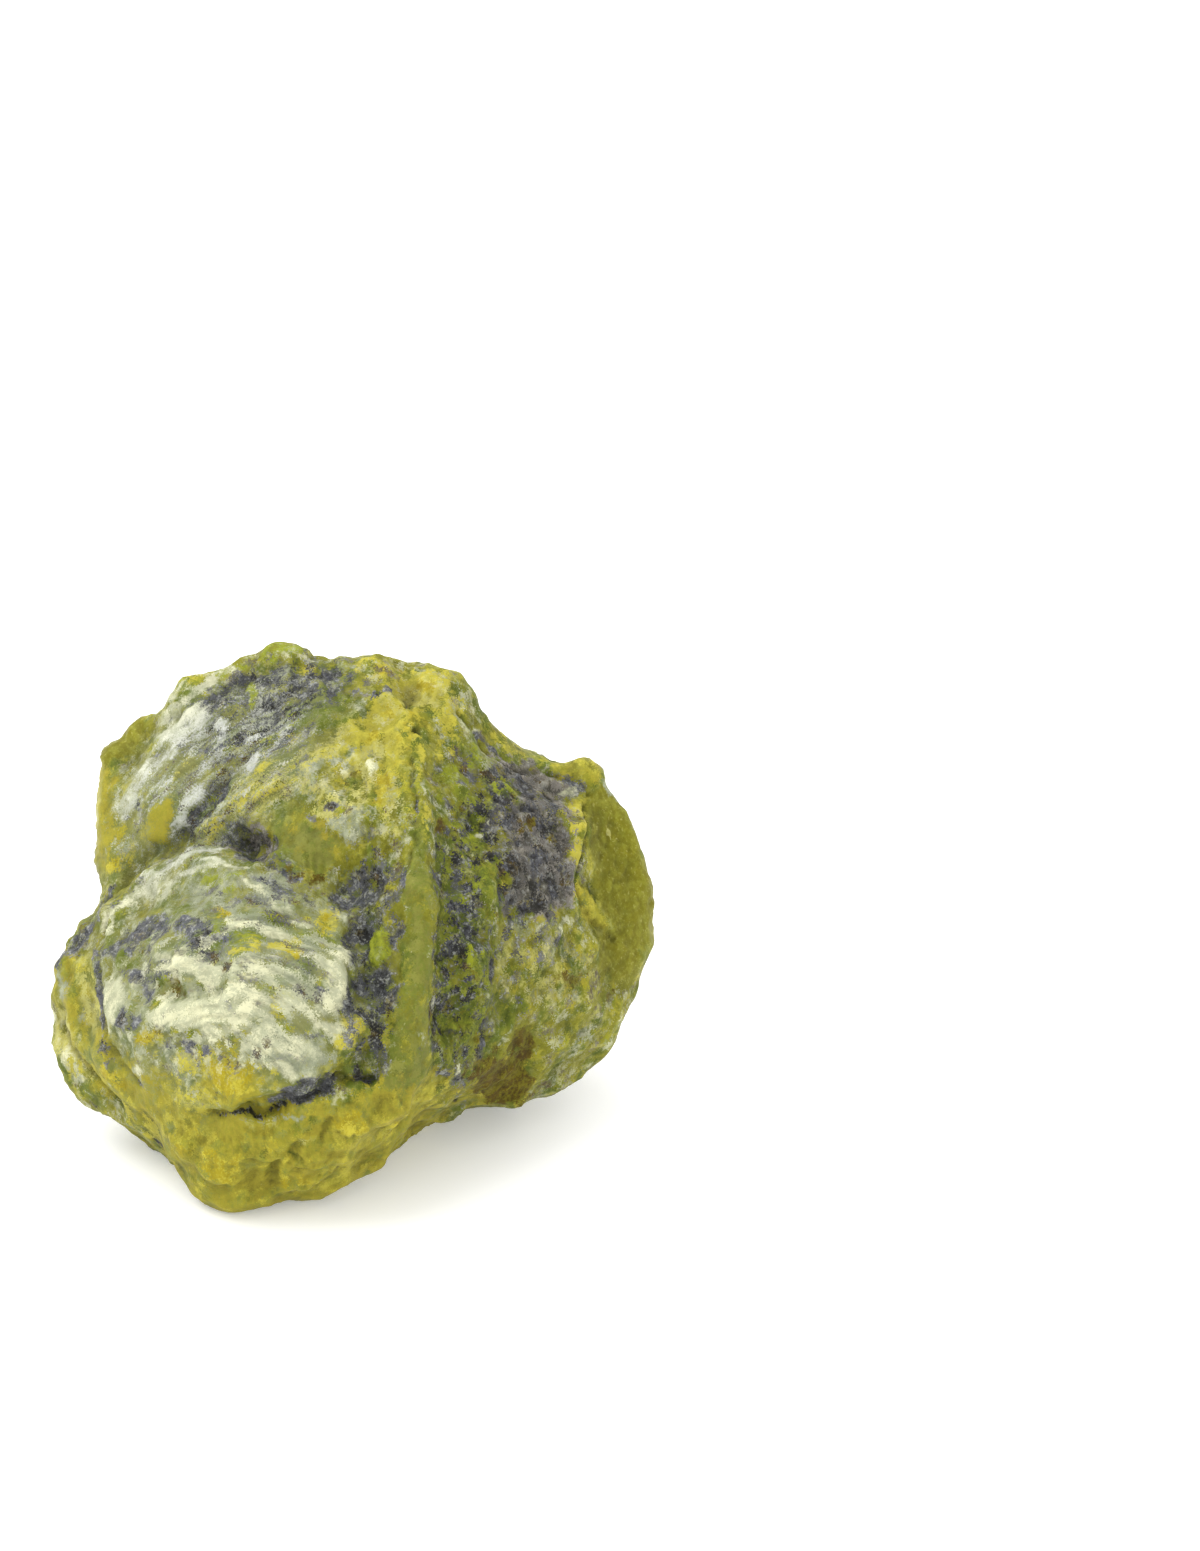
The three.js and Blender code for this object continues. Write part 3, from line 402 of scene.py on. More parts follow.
# The share of each kind on the hidden sides: how wide its fields are, in mm, and how much they hold.
HIDDEN = {
    "gold": (11, 0.9), "moss": (9, 0.8), "milky": (7, 0.8), "yellow": (10, 0.9), "straw": (6, 0.6),
    "amber": (6, 0.6), "umber": (6, 0.4), "slate": (9, 0.95), "violet": (8, 0.7), "charcoal": (5, 0.6),
    "green": (8, 0.7), "lime": (7, 0.5), "chalk": (7, 0.9), "waxy": (12, 1.0),
}

# The kinds that are laid over each other, from the lowest to the highest: which random number of the flakes
# each takes, the noise that frays it, the tone that is threaded through its own, and how soft its edges are.
LAYING = {
    "gold": (2, "coarse", "olive", 0.35),
    "moss": (1, "drawn", "green", 0.35),
    "milky": (0, "drawn", "sage", 0.45),
    "yellow": (2, "coarse", "plain", 0.2),
    "straw": (1, "drawn", "gold", 0.35),
    "amber": (2, "coarse", "yellow", 0.2),
    "slate": (1, "speckled", "charcoal", 0.2),
    "violet": (1, "speckled", "charcoal", 0.2),
    "charcoal": (1, "speckled", "slate", 0.2),
    "green": (2, "drawn", "plain", 0.2),
    "lime": (2, "coarse", "green", 0.2),
    "umber": (1, "coarse", "waxy", 0.2),
    "chalk": (0, "drawn", "milky", 0.45),
}
DARK_KINDS = ("slate", "violet", "charcoal")

# A flake of a kind shows where the kind's share, plus the swing of the flake's random number and of the
# noise, passes this level. CRUMBLY is the swing of the fine noise on the shoulder.
FLAKE_SWING = 1.1
NOISE_SWING = 1.3
SPOT_LEVEL = 0.55
CRUMBLY = 1.2

# How strongly each layer of colour covers what lies below it, from 0 to 1, and what some of them gain or
# lose in places.
COVER = {
    "strands": 0.35, "more strands on fibres": 0.35, "bright grains": 0.6, "straw flecks": 0.4,
    "waxy faces": 0.9, "sage on fibres": 0.4, "milky under talc": 0.6, "less on the shoulder": 0.25,
    "kind": 0.94, "threads": 0.6, "specks": 0.42, "fewer on violet": 0.16, "pits": 0.8,
    "shallower on violet": 0.2,
}

# The stone's brightness, the range of depths over which painted shade darkens hollows, in mm, and by how
# much, and how far each noise takes it down and up. Each of the last two is weaker in some places, by these
# shares. The painted shade leaves edges that stand out a little lighter than flat places.
BRIGHTNESS = 0.67
HOLLOW_DEPTHS = (-0.15, 0.25)
HOLLOW_SHADE = 0.36
VARY = {"threads": 0.3, "flecks": 0.2, "coarse": 0.3, "flakes": 0.2}
HOLLOWS_WEAKER = {"streaked": 0.5, "dome": 0.25}
VARY_WEAKER = {"waxy": 0.5, "dome": 0.35}

# The fine bump, with its height in mm, and how rough and how shiny the stone is.
BUMP_STRENGTH = 0.6
BUMP_HEIGHT = 0.12
BUMP_LESS_ON_WAXY = 0.8
ROUGHNESS = 0.5
CHALK_ROUGHNESS = 0.3
FLECK_ROUGHNESS = 0.1
WAXY_GLOSS = 0.14
SPECULAR = 0.08

# The floor and the light.
PAPER_WHITE = (0.85, 0.85, 0.85, 1)
PAPER_ROUGHNESS = 0.9
PAPER_GLOW = 0.25
TOWARDS_KEY_LIGHT = (-0.38, 0.12, 0.88)


def lattice_entries(table, corners):
    """A number from 0 to 255 for each corner of a unit lattice, by a shuffled table of those numbers."""
    x, y, z = (corners & 255).T
    return table[(table[(table[x] + y) & 255] + z) & 255]


def lattice_noise(points, seed):
    """Gradient noise between about -1 and 1. Each corner of a unit lattice has a random direction. The value
    is the dot product of that direction with the offset from the corner, blended between the eight corners
    by 6t^5 - 15t^4 + 10t^3 along each axis, times 1.6."""
    rng = np.random.default_rng(seed)
    table = rng.permutation(256)
    directions = rng.normal(size=(256, 3))
    directions /= np.linalg.norm(directions, axis=1, keepdims=True)
    cell = np.floor(points).astype(int)
    offset = points - cell
    fade = offset**3 * (offset * (offset * 6 - 15) + 10)
    total = np.zeros(len(points))
    for corner in np.ndindex(2, 2, 2):
        towards = directions[lattice_entries(table, cell + corner)]
        dots = np.einsum("ij,ij->i", towards, offset - corner)
        total += dots * np.prod(np.where(corner, fade, 1 - fade), axis=1)
    return total * 1.6


def fractal_noise(points, across, octaves, seed):
    """A sum of gradient noises, each of half the width and half the height of the one before."""
    total = np.zeros(len(points))
    for octave in range(octaves):
        total += lattice_noise(points * 2**octave / across, seed + octave) / 2**octave
    return total


def scallops(points, across, seed):
    """Broken hollows that meet in sharp ridges. Space holds scattered seats, one in each unit cell. The
    value is the least, over the seats, of the squared distance to the seat plus the offset from it times
    that seat's random tilt of about 0.25, less 0.3 so that the mean is about 0."""
    rng = np.random.default_rng(seed)
    table = rng.permutation(256)
    seats = rng.random((256, 3))
    tilts = rng.normal(size=(256, 3)) * 0.25
    scaled = points / across
    cell = np.floor(scaled).astype(int)
    least = np.full(len(points), np.inf)
    for step in np.ndindex(3, 3, 3):
        corner = cell + np.array(step) - 1
        entries = lattice_entries(table, corner)
        offset = scaled - corner - seats[entries]
        bowl = np.einsum("ij,ij->i", offset, offset + tilts[entries])
        least = np.minimum(least, bowl)
    return least - 0.3


def layers(flow, gap, seed):
    """Splintered layers. A saw-tooth of the distance across the fibres, wavered by noise of 1.1 layers,
    rises over the first fifth of each layer and falls over the rest. Wide noise makes the layers come and
    go."""
    rise = 0.2
    wavers_per_mm = (0.09, 0.3, 0.3)
    patches_per_mm = (0.12, 0.25, 0.25)
    turn = flow[:, 1] / gap + 1.1 * lattice_noise(flow * wavers_per_mm, seed)
    part = turn - np.floor(turn)
    saw = np.minimum(part / rise, (1 - part) / (1 - rise))
    return saw * ramp(lattice_noise(flow * patches_per_mm, seed + 1), low=-0.4, high=0.4)


def ramp(values, low, high):
    """0 at low and beyond it, 1 at high and beyond it, and 3t^2 - 2t^3 between them."""
    t = np.clip((values - low) / (high - low), 0, 1)
    return t * t * (3 - 2 * t)


def distance_to_chain(points, chain):
    """The least distance from each point to a chain of straight stretches."""
    chain = np.asarray(chain, float)
    least = np.full(len(points), np.inf)
    for start, end in zip(chain[:-1], chain[1:]):
        along = end - start
        share = np.clip((points - start) @ along / (along @ along), 0, 1)
        least = np.minimum(least, np.linalg.norm(points - start - share[:, None] * along, axis=1))
    return least


def ball_grid(cuts, crowding):
    """Unit directions on a cube's six faces, each a grid of tan(pi/4 s) by tan(pi/4 t), and their quads.
    Each direction then leans by crowding times the nearer axis, which crowds them on the display side."""
    s = np.tan(np.linspace(-np.pi / 4, np.pi / 4, cuts + 1))
    a, b = np.meshgrid(s, s, indexing="ij")
    one = np.ones_like(a)
    sides = []
    for axis in range(3):
        for sign in (1, -1):
            grid = np.stack([sign * one, a, sign * b], axis=-1)
            sides.append(np.roll(grid, axis, axis=-1).reshape(-1, 3))
    corners = np.concatenate(sides)
    corners /= np.linalg.norm(corners, axis=1, keepdims=True)
    i, j = np.meshgrid(np.arange(cuts), np.arange(cuts), indexing="ij")
    first = (i * (cuts + 1) + j).ravel()
    quads = np.stack([first, first + cuts + 1, first + cuts + 2, first + 1], axis=1)
    quads = np.concatenate([quads + side * (cuts + 1) ** 2 for side in range(6)])
    _, keep, merged = np.unique(np.round(corners, 6), axis=0, return_index=True, return_inverse=True)
    directions = corners[keep] + crowding * NEARER
    directions /= np.linalg.norm(directions, axis=1, keepdims=True)
    return directions, merged.reshape(-1)[quads]


def edges_of(quads):
    """Each edge of the quads once, as pairs of places in the list of points."""
    pairs = np.concatenate([quads[:, [k, (k + 1) % 4]] for k in range(4)])
    return np.unique(np.sort(pairs, axis=1), axis=0)


def relax(values, edges, share):
    """Moves each value towards the mean of the values across its edges, by share of the way."""
    count = len(values)
    a, b = edges.T
    degree = np.bincount(a, minlength=count) + np.bincount(b, minlength=count)
    total = np.bincount(a, values[b], count) + np.bincount(b, values[a], count)
    return values + share * (total / degree - values)


def point_normals(points, quads):
    """The mean of the cross products of the diagonals of the quads around each point, as a unit vector."""
    p = points[quads]
    cross = np.cross(p[:, 2] - p[:, 0], p[:, 3] - p[:, 1])
    normals = np.stack(
        [np.bincount(quads.ravel(), np.repeat(cross[:, k], 4), len(points)) for k in range(3)], axis=1
    )
    return normals / np.linalg.norm(normals, axis=1, keepdims=True)


def new_object(name, points, faces):
    """A mesh object from arrays, smooth shaded, in the scene's collection."""
    mesh = bpy.data.meshes.new(name)
    mesh.from_pydata(points, [], faces)
    mesh.shade_smooth()
    piece = bpy.data.objects.new(name, mesh)
    bpy.context.scene.collection.objects.link(piece)
    return piece


def read_points(mesh):
    """The places of a mesh's points, one in each row."""
    points = np.empty(len(mesh.vertices) * 3)
    mesh.vertices.foreach_get("co", points)
    return points.reshape(-1, 3)


def reach_of_solid(directions, quads, solid):
    """How far the solid's skin lies from the heart in each direction, in millimetres. A ball of 2 mm radius
    round the heart is projected outwards along its normals."""
    radius = 2.0
    ball = new_object("probe", (HEART + directions * radius) * MM, quads)
    wrap = ball.modifiers.new("onto the solid", "SHRINKWRAP")
    wrap.target = solid
    wrap.wrap_method = "PROJECT"
    wrap.use_negative_direction = False
    wrap.use_positive_direction = True
    depsgraph = bpy.context.evaluated_depsgraph_get()
    projected = bpy.data.meshes.new_from_object(ball.evaluated_get(depsgraph))
    reach = np.linalg.norm(read_points(projected) / MM - HEART, axis=1)
    bpy.data.objects.remove(ball)
    bpy.data.meshes.remove(projected)
    if reach.min() < radius * 2:
        raise RuntimeError("part of the ball missed the solid")
    return reach


class View:
    """The skin as the display view sees it."""

    def __init__(self, points, normals):
        self.place = (points - HEART) @ DISPLAY_AXES
        shrink = EYE_DISTANCE / (EYE_DISTANCE - self.place[:, 2])
        self.flat = self.place[:, :2] * shrink[:, None]
        self.front = ramp(normals @ NEARER, *FACING)
        noises = [fractal_noise(points, SWAY_WIDTH, octaves=4, seed=seed) for seed in SEEDS["sway"]]
        self.sway = SWAY * np.stack(noises, axis=1)
        self.bundles = {}
        self.flows = {}
        for name, (centre, area) in FIBRES.items():
            self.bundles[name] = self.front * self.patch(self.flat, (*area, 1))
            self.flows[name] = self.arcs(centre)

    def fibrous(self):
        """The greatest share of a bundle of fibres at each point."""
        return np.maximum.reduce(list(self.bundles.values()))

    def arcs(self, centre):
        """Coordinates along and across the arcs round a centre: the angle from straight up times the mean
        radius, the distance from the centre, and the depth."""
        offset = self.flat - centre
        radius = np.linalg.norm(offset, axis=1)
        angle = np.arctan2(offset[:, 0], offset[:, 1])
        return np.stack([angle * MEAN_RADIUS, radius, self.place[:, 2]], axis=1)

    def along_fibres(self, effect):
        """Works out an effect on each bundle's flow, and on upright fibres elsewhere, and joins them."""
        total = effect(self.place[:, [1, 0, 2]])
        for name, share in self.bundles.items():
            total += share * (effect(self.flows[name]) - total)
        return total

    def on_skin(self, spot):
        """The point of the skin that shows at a spot (right, up): the one nearest to the eye of those within
        half a millimetre, or of the closest where none lies within it."""
        away = np.linalg.norm(self.flat - spot, axis=1)
        close = away < max(0.5, away.min() * 1.01)
        return self.place[close][np.argmax(self.place[close, 2])]

    def chain(self, spots):
        """The distance from each point, swayed by noise, to a chain of spots laid on the skin."""
        return distance_to_chain(self.place + self.sway, [self.on_skin(spot) for spot in spots])

    def patch(self, warped, mark):
        """The mark's last value in the middle of a patch, falling to 0 around its edge. The patch is an
        ellipse with half lengths long and wide, leaning by lean degrees. It also fades with depth from the
        skin at its middle."""
        right, up, long, wide, lean, value = mark
        turn = np.radians(lean)
        offset = warped - (right, up)
        along = offset @ (np.cos(turn), np.sin(turn))
        across = offset @ (-np.sin(turn), np.cos(turn))
        depth = self.place[:, 2] - self.on_skin((right, up))[2]
        deep = PATCH_DEPTH * long + LEAST_PATCH_DEPTH
        far = np.sqrt((along / long) ** 2 + (across / wide) ** 2 + (depth / deep) ** 2)
        return value * ramp(far, *PATCH_EDGE)

    def patches(self, warped, marks):
        """The greatest of the shares of a list of marks at each point."""
        share = np.zeros(len(warped))
        for mark in marks:
            share = np.maximum(share, self.patch(warped, mark))
        return share

    def frayed(self):
        """The display place of each point, shifted by noise and further along the fibres, so that the
        patches get ragged, splintered edges."""
        pull = self.along_fibres(lambda flow: lattice_noise(flow / SPLINTER, SEEDS["pull"]))
        tangent = np.zeros_like(self.flat) + (0.0, 1.0)
        for name, (centre, _) in FIBRES.items():
            offset = self.flat - centre
            turned = offset[:, ::-1] * (1, -1) / np.linalg.norm(offset, axis=1, keepdims=True)
            tangent += self.bundles[name][:, None] * (turned - tangent)
        return self.flat + self.sway[:, :2] + PULL * pull[:, None] * tangent


class Wire:
    """One output of a node. Arithmetic on it adds Math nodes to its graph."""

    def __init__(self, graph, socket):
        self.graph = graph
        self.socket = socket

    def math(self, operation, *values):
        """A Math node on these values."""
        return self.graph.node("ShaderNodeMath", {"operation": operation}, dict(enumerate(values)))

    def __add__(self, other):
        return self.math("ADD", self, other)

    def __sub__(self, other):
        return self.math("SUBTRACT", self, other)

    def __rsub__(self, other):
        return self.math("SUBTRACT", other, self)

    def __mul__(self, other):
        return self.math("MULTIPLY", self, other)

    __radd__ = __add__
    __rmul__ = __mul__


class Graph:
    """A material's node tree."""

    def __init__(self, material):
        material.use_nodes = True
        self.tree = material.node_tree
        self.tree.nodes.clear()

    def node(self, kind, settings=None, values=None, output=0):
        """Adds a node of a kind, sets its settings, then gives its input sockets values or links."""
        node = self.tree.nodes.new(kind)
        for key, value in (settings or {}).items():
            setattr(node, key, value)
        for key, value in (values or {}).items():
            socket = self.pick(node.inputs, key)
            if isinstance(value, Wire):
                self.tree.links.new(value.socket, socket)
            else:
                socket.default_value = value
        return Wire(self, self.pick(node.outputs, output)) if node.outputs else None

    @staticmethod
    def pick(sockets, key):
        """A socket by its number, its name or its identifier."""
        if isinstance(key, int):
            return sockets[key]
        return next(socket for socket in sockets if key in (socket.identifier, socket.name))

    def field(self, name, output="Fac"):
        """A number, or with output Vector a direction, stored on the skin's points."""
        return self.node("ShaderNodeAttribute", {"attribute_name": name}, output=output)

    def millimetres(self):
        """Object coordinates in millimetres."""
        return self.shade(self.node("ShaderNodeTexCoord", output="Object"), 1 / MM)

    def stretched(self, vector, stretch, across, move=0.0):
        """A vector in millimetres, divided by across and by a stretch along each axis."""
        scale = tuple(np.divide(1, stretch) / across)
        values = {"Vector": vector, "Location": (move, move, move), "Scale": scale}
        return self.node("ShaderNodeMapping", {"vector_type": "POINT"}, values)

    def noise_at(self, vector, stretch, across, detail, roughness, move):
        """Noise from 0 to 1 with blotches about this many millimetres across."""
        place = self.stretched(vector, stretch, across, move)
        values = {"Vector": place, "Scale": 1.0, "Detail": detail, "Roughness": roughness}
        return self.node("ShaderNodeTexNoise", {"normalize": True}, values)

    def grain(self, across, detail=4, roughness=0.6, move=0.0):
        """Noise on the stone itself, alike in every direction."""
        return self.noise_at(self.millimetres(), (1, 1, 1), across, detail, roughness, move)

    def fibres(self, across, length=4.0, detail=4, roughness=0.6, move=0.0):
        """Noise drawn out along the fibres, which are length times as long as they are wide. Outside the
        bundles it is drawn out upright, and half as much."""
        total = self.noise_at(self.millimetres(), (1, 1, length * 0.5), across, detail, roughness, move)
        for name in FIBRES:
            flow = self.field(name + " flow", "Vector")
            bundle = self.noise_at(flow, (length, 1, 1), across, detail, roughness, move)
            total = total + self.field(name + " bundle") * (bundle - total)
        return total

    def flakes(self, across, length, stray):
        """Three random numbers from 0 to 1 for each flake. The flakes are Voronoi cells with edges that
        noise moves about by stray millimetres. In the bundles they are drawn out along the fibres as FLAKES
        says, and elsewhere upright."""
        values = {"Vector": self.stretched(self.millimetres(), (1, 1, 1), across), "Detail": 3.0}
        noise = self.node("ShaderNodeTexNoise", {"normalize": True}, values, "Color")
        strayed = self.shade(noise, stray * 4)

        def cells(place, stretch, width):
            place = self.node("ShaderNodeVectorMath", {"operation": "ADD"}, {0: place, 1: strayed})
            values = {"Vector": self.stretched(place, stretch, width), "Scale": 1.0}
            return self.node("ShaderNodeTexVoronoi", None, values, "Color")

        total = cells(self.millimetres(), (1, 1, length * 0.5), across)
        for name, (width, times) in FLAKES.items():
            bundle = cells(self.field(name + " flow", "Vector"), (times, 1, 1), width)
            total = self.blend(self.field(name + " bundle"), total, bundle)
        return [self.node("ShaderNodeSeparateColor", None, {"Color": total}, part) for part in range(3)]

    def ramp(self, value, low, high):
        """0 at low and beyond it, 1 at high and beyond it, and smooth between them."""
        values = {"Value": value, "From Min": low, "From Max": high}
        return self.node("ShaderNodeMapRange", {"interpolation_type": "SMOOTHSTEP"}, values)

    def spots(self, share, flake, noise, soft):
        """Turns a share from 0 to 1 into whole flakes with ragged edges that cover about that share."""
        total = share + swing(flake, FLAKE_SWING) + swing(noise, NOISE_SWING)
        return self.ramp(total, SPOT_LEVEL - soft, SPOT_LEVEL + soft)

    def blend(self, factor, first, second):
        """The first colour where the factor is 0, the second where it is 1."""
        values = {"Factor_Float": factor, "A_Color": first, "B_Color": second}
        return self.node("ShaderNodeMix", {"data_type": "RGBA"}, values, "Result_Color")

    def shade(self, colour, amount):
        """A colour times a number."""
        return self.node("ShaderNodeVectorMath", {"operation": "SCALE"}, {"Vector": colour, "Scale": amount})


def swing(noise, amount):
    """Noise from 0 to 1, turned into a swing of this amount in all, half of it to each side of 0."""
    return (noise - 0.5) * amount


def linear(colour):
    """A colour as seen, 0 to 1, in linear light: ((c + 0.055) / 1.055)^2.4, or c / 12.92 when dark."""
    c = np.asarray(colour)
    light = np.where(c <= 0.04045, c / 12.92, ((c + 0.055) / 1.055) ** 2.4)
    return (*light.tolist(), 1.0)


def hue(name, description, default):
    """A colour that the user can change, given as it looks on a screen."""
    return FloatVectorProperty(
        name=name, description=description, default=default, subtype="COLOR_GAMMA", size=3, min=0, max=1
    )


def relief_height(name, description, default):
    """A height in millimetres that the user can change."""
    return FloatProperty(name=name, description=description, default=default, min=0)


class SerpentineSkin(bpy.types.PropertyGroup):
    cuts: IntProperty(
        name="Cuts", description="Quads along each of the six sides of the skin", default=128, min=8
    )
    crowding: FloatProperty(
        name="Crowding",
        description="How much finer the skin is on the display side",
        default=0.3,
        min=0,
        max=0.8,
    )
    smoothing: IntProperty(
        name="Smoothing", description="Passes that smooth the solid's flats", default=16, min=0
    )
    lump_height: relief_height("Lump height", "Height of the wide lumps, mm", 0.35)
    chip_height: relief_height("Chip height", "Height of the broken scallops, mm", 1.1)
    layer_height: relief_height("Layer height", "Height of the layers, mm", 0.35)
    grit_height: relief_height("Grit height", "Height of the finest grit, mm", 0.07)


class SerpentineColours(bpy.types.PropertyGroup):
    olive: hue("Olive", "The plain stone", (0.57, 0.565, 0.17))
    gold: hue("Gold", "Golden olive of the foot", (0.71, 0.665, 0.22))
    moss: hue("Moss", "Dull olive of the ridge", (0.535, 0.54, 0.24))
    green: hue("Green", "The green scales", (0.43, 0.48, 0.16))
    lime: hue("Lime", "The brightest green", (0.63, 0.66, 0.17))
    yellow: hue("Yellow", "The bright patches", (0.83, 0.79, 0.30))
    amber: hue("Amber", "The warmest patches", (0.725, 0.66, 0.155))
    straw: hue("Straw", "Pale flecks on the yellow stone", (0.80, 0.785, 0.46))
    sage: hue("Sage", "Grey green between the pale fibres", (0.55, 0.575, 0.46))
    # Umber: brown streaks, and at the lower right of the cheek a painted shadow of the neighbouring stones.
    umber: hue("Umber", "Brown in deep places", (0.35, 0.275, 0.05))
    milky: hue("Milky", "Pale, milky green", (0.68, 0.70, 0.585))
    slate: hue("Slate", "Grey flecked stone", (0.40, 0.405, 0.44))
    violet: hue("Violet grey", "Dull violet film", (0.60, 0.575, 0.535))
    charcoal: hue("Charcoal", "The darkest magnetite", (0.165, 0.165, 0.14))
    chalk: hue("Chalk", "Powdery talc", (0.94, 0.935, 0.77))
    frost: hue("Frost", "Whiter talc of the shoulder", (0.87, 0.88, 0.84))
    waxy: hue("Waxy olive", "Smooth broken faces", (0.51, 0.49, 0.11))


class SerpentineStage(bpy.types.PropertyGroup):
    floor_size: FloatProperty(
        name="Floor size",
        description="Width of the floor",
        default=3.0,
        min=0.1,
        unit="LENGTH",
        subtype="DISTANCE",
    )
    key_strength: FloatProperty(
        name="Key light", description="Strength of the key light", default=2.0, min=0
    )
    key_spread: FloatProperty(
        name="Key spread",
        description="Width of the key light in the sky",
        default=1.0,
        min=0,
        unit="ROTATION",
    )
    sky_strength: FloatProperty(
        name="Surround light", description="Brightness all round", default=1.3, min=0
    )


class SERPENTINE_OT_skin(bpy.types.Operator):
    """Makes the stone's skin around the solid, with its cracks, chips and lumps"""

    bl_idname = "serpentine.skin"
    bl_label = "Make the Skin"

    def execute(self, context):
        settings = context.scene.serpentine_skin
        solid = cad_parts[NODE]
        directions, quads = ball_grid(settings.cuts, settings.crowding)
        edges = edges_of(quads)
        reach = reach_of_solid(directions, quads, solid)
        for _ in range(settings.smoothing):
            reach = relax(reach, edges, share=0.5)
        points = HEART + directions * reach[:, None]
        normals = point_normals(points, quads)
        view = View(points, normals)
        fields = stone_fields(points, view)
        points = points + normals * relief(points, view, fields, settings)[:, None]
        points[:, 2] = np.maximum(points[:, 2], 0)
        low, high = (np.array(corner) / MM for corner in CAD_BOX)
        points = np.clip(points, low, high)
        stone = new_object("stone", points * MM, quads)
        fields |= {name + " bundle": share for name, share in view.bundles.items()}
        # The material paints shade into the hollows by this field.
        fields["hollow"] = hollowness(points, edges)
        for name, values in fields.items():
            attribute = stone.data.attributes.new(name, "FLOAT", "POINT")
            attribute.data.foreach_set("value", values.astype(np.float32))
        for name, flow in view.flows.items():
            attribute = stone.data.attributes.new(name + " flow", "FLOAT_VECTOR", "POINT")
            attribute.data.foreach_set("vector", flow.astype(np.float32).ravel())
        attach(stone, "root")
        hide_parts(NODE)
        return {"FINISHED"}


def hollowness(points, edges):
    """How far each point lies below the mean of the skin around it, in millimetres. Ten passes of relax make
    the mean."""
    reach = np.linalg.norm(points - HEART, axis=1)
    around = reach
    for _ in range(10):
        around = relax(around, edges, share=0.7)
    return around - reach


def stone_fields(points, view):
    """The share of each kind of stone at each point. On the display side it comes from the marks, frayed
    along the fibres. On the hidden sides it comes from wide noise. Then each strong kind of RIVALS takes its
    push, times its own share, from what each of its weak kinds lacks of 1, so that only whole spots of them
    stay. The last field is wide noise along the fibres."""
    frayed = view.frayed()
    fields = {}
    for place, (kind, marks) in enumerate(MARKS.items()):
        across, most = HIDDEN[kind]
        noise = fractal_noise(points, across, octaves=4, seed=SEEDS["kinds"] + SEEDS_PER_KIND * place)
        hidden = most * ramp(noise, low=0.15, high=0.7)
        fields[kind] = view.front * view.patches(frayed, marks) + (1 - view.front) * hidden
    plain = 1 - view.fibrous()
    for strong, (push, everywhere, weak) in RIVALS.items():
        strength = push * np.maximum(fields[strong], 0) * (1 if everywhere else plain)
        for kind in weak:
            fields[kind] = fields[kind] - strength * np.clip(1 - fields[kind], 0, 1)
    fields["wide"] = view.along_fibres(
        lambda flow: fractal_noise(flow / (2, 1, 1), across=2.6, octaves=4, seed=SEEDS["wide"])
    )
    return fields


def relief(points, view, fields, settings):
    """How far each point stands out: wide lumps, broken scallops, splintered layers and grit, less of each
    where the stone is waxy, with the lumps, the cracks and the ridge of the display side. A crack sinks by
    depth times exp(-(distance / width)^2), and the ridge rises in the same way."""
    rough = 1 - WAXY_CALM * fields["waxy"]
    frayed = view.frayed()
    height = fractal_noise(points, LUMP_WIDTH, octaves=2, seed=SEEDS["lumps"]) * settings.lump_height
    large = scallops(points, CHIP_WIDTH, SEEDS["chips"])
    small = scallops(points, SMALL_CHIP_WIDTH, SEEDS["small chips"])
    height += rough * (large + SMALL_CHIPS * small) * settings.chip_height
    splintered = STRAY_LAYERS + (1 - STRAY_LAYERS) * view.fibrous()
    steps = view.along_fibres(lambda flow: layers(flow, LAYER_GAP, SEEDS["layers"]))
    height += rough * splintered * steps * settings.layer_height
    dark = np.maximum.reduce([fields[kind] for kind in DARK_KINDS])
    grit = fractal_noise(points, GRIT_WIDTH, octaves=2, seed=SEEDS["grit"])
    height += (rough + DARK_GRIT * dark) * grit * settings.grit_height
    for mark in LUMPS:
        height += view.front * view.patch(frayed, mark)
    for width, depth, spots in CRACKS.values():
        height -= depth * np.exp(-((view.chain(spots) / width) ** 2))
    width, rise, spots = RIDGE
    return height + rise * np.exp(-((view.chain(spots) / width) ** 2))


class SERPENTINE_OT_stone(bpy.types.Operator):
    """Gives the skin its mottled stone"""

    bl_idname = "serpentine.stone"
    bl_label = "Colour the Stone"

    def execute(self, context):
        stone = bpy.data.objects["stone"]
        stone.data.materials.append(serpentine_material(context.scene.serpentine_colours))
        return {"FINISHED"}


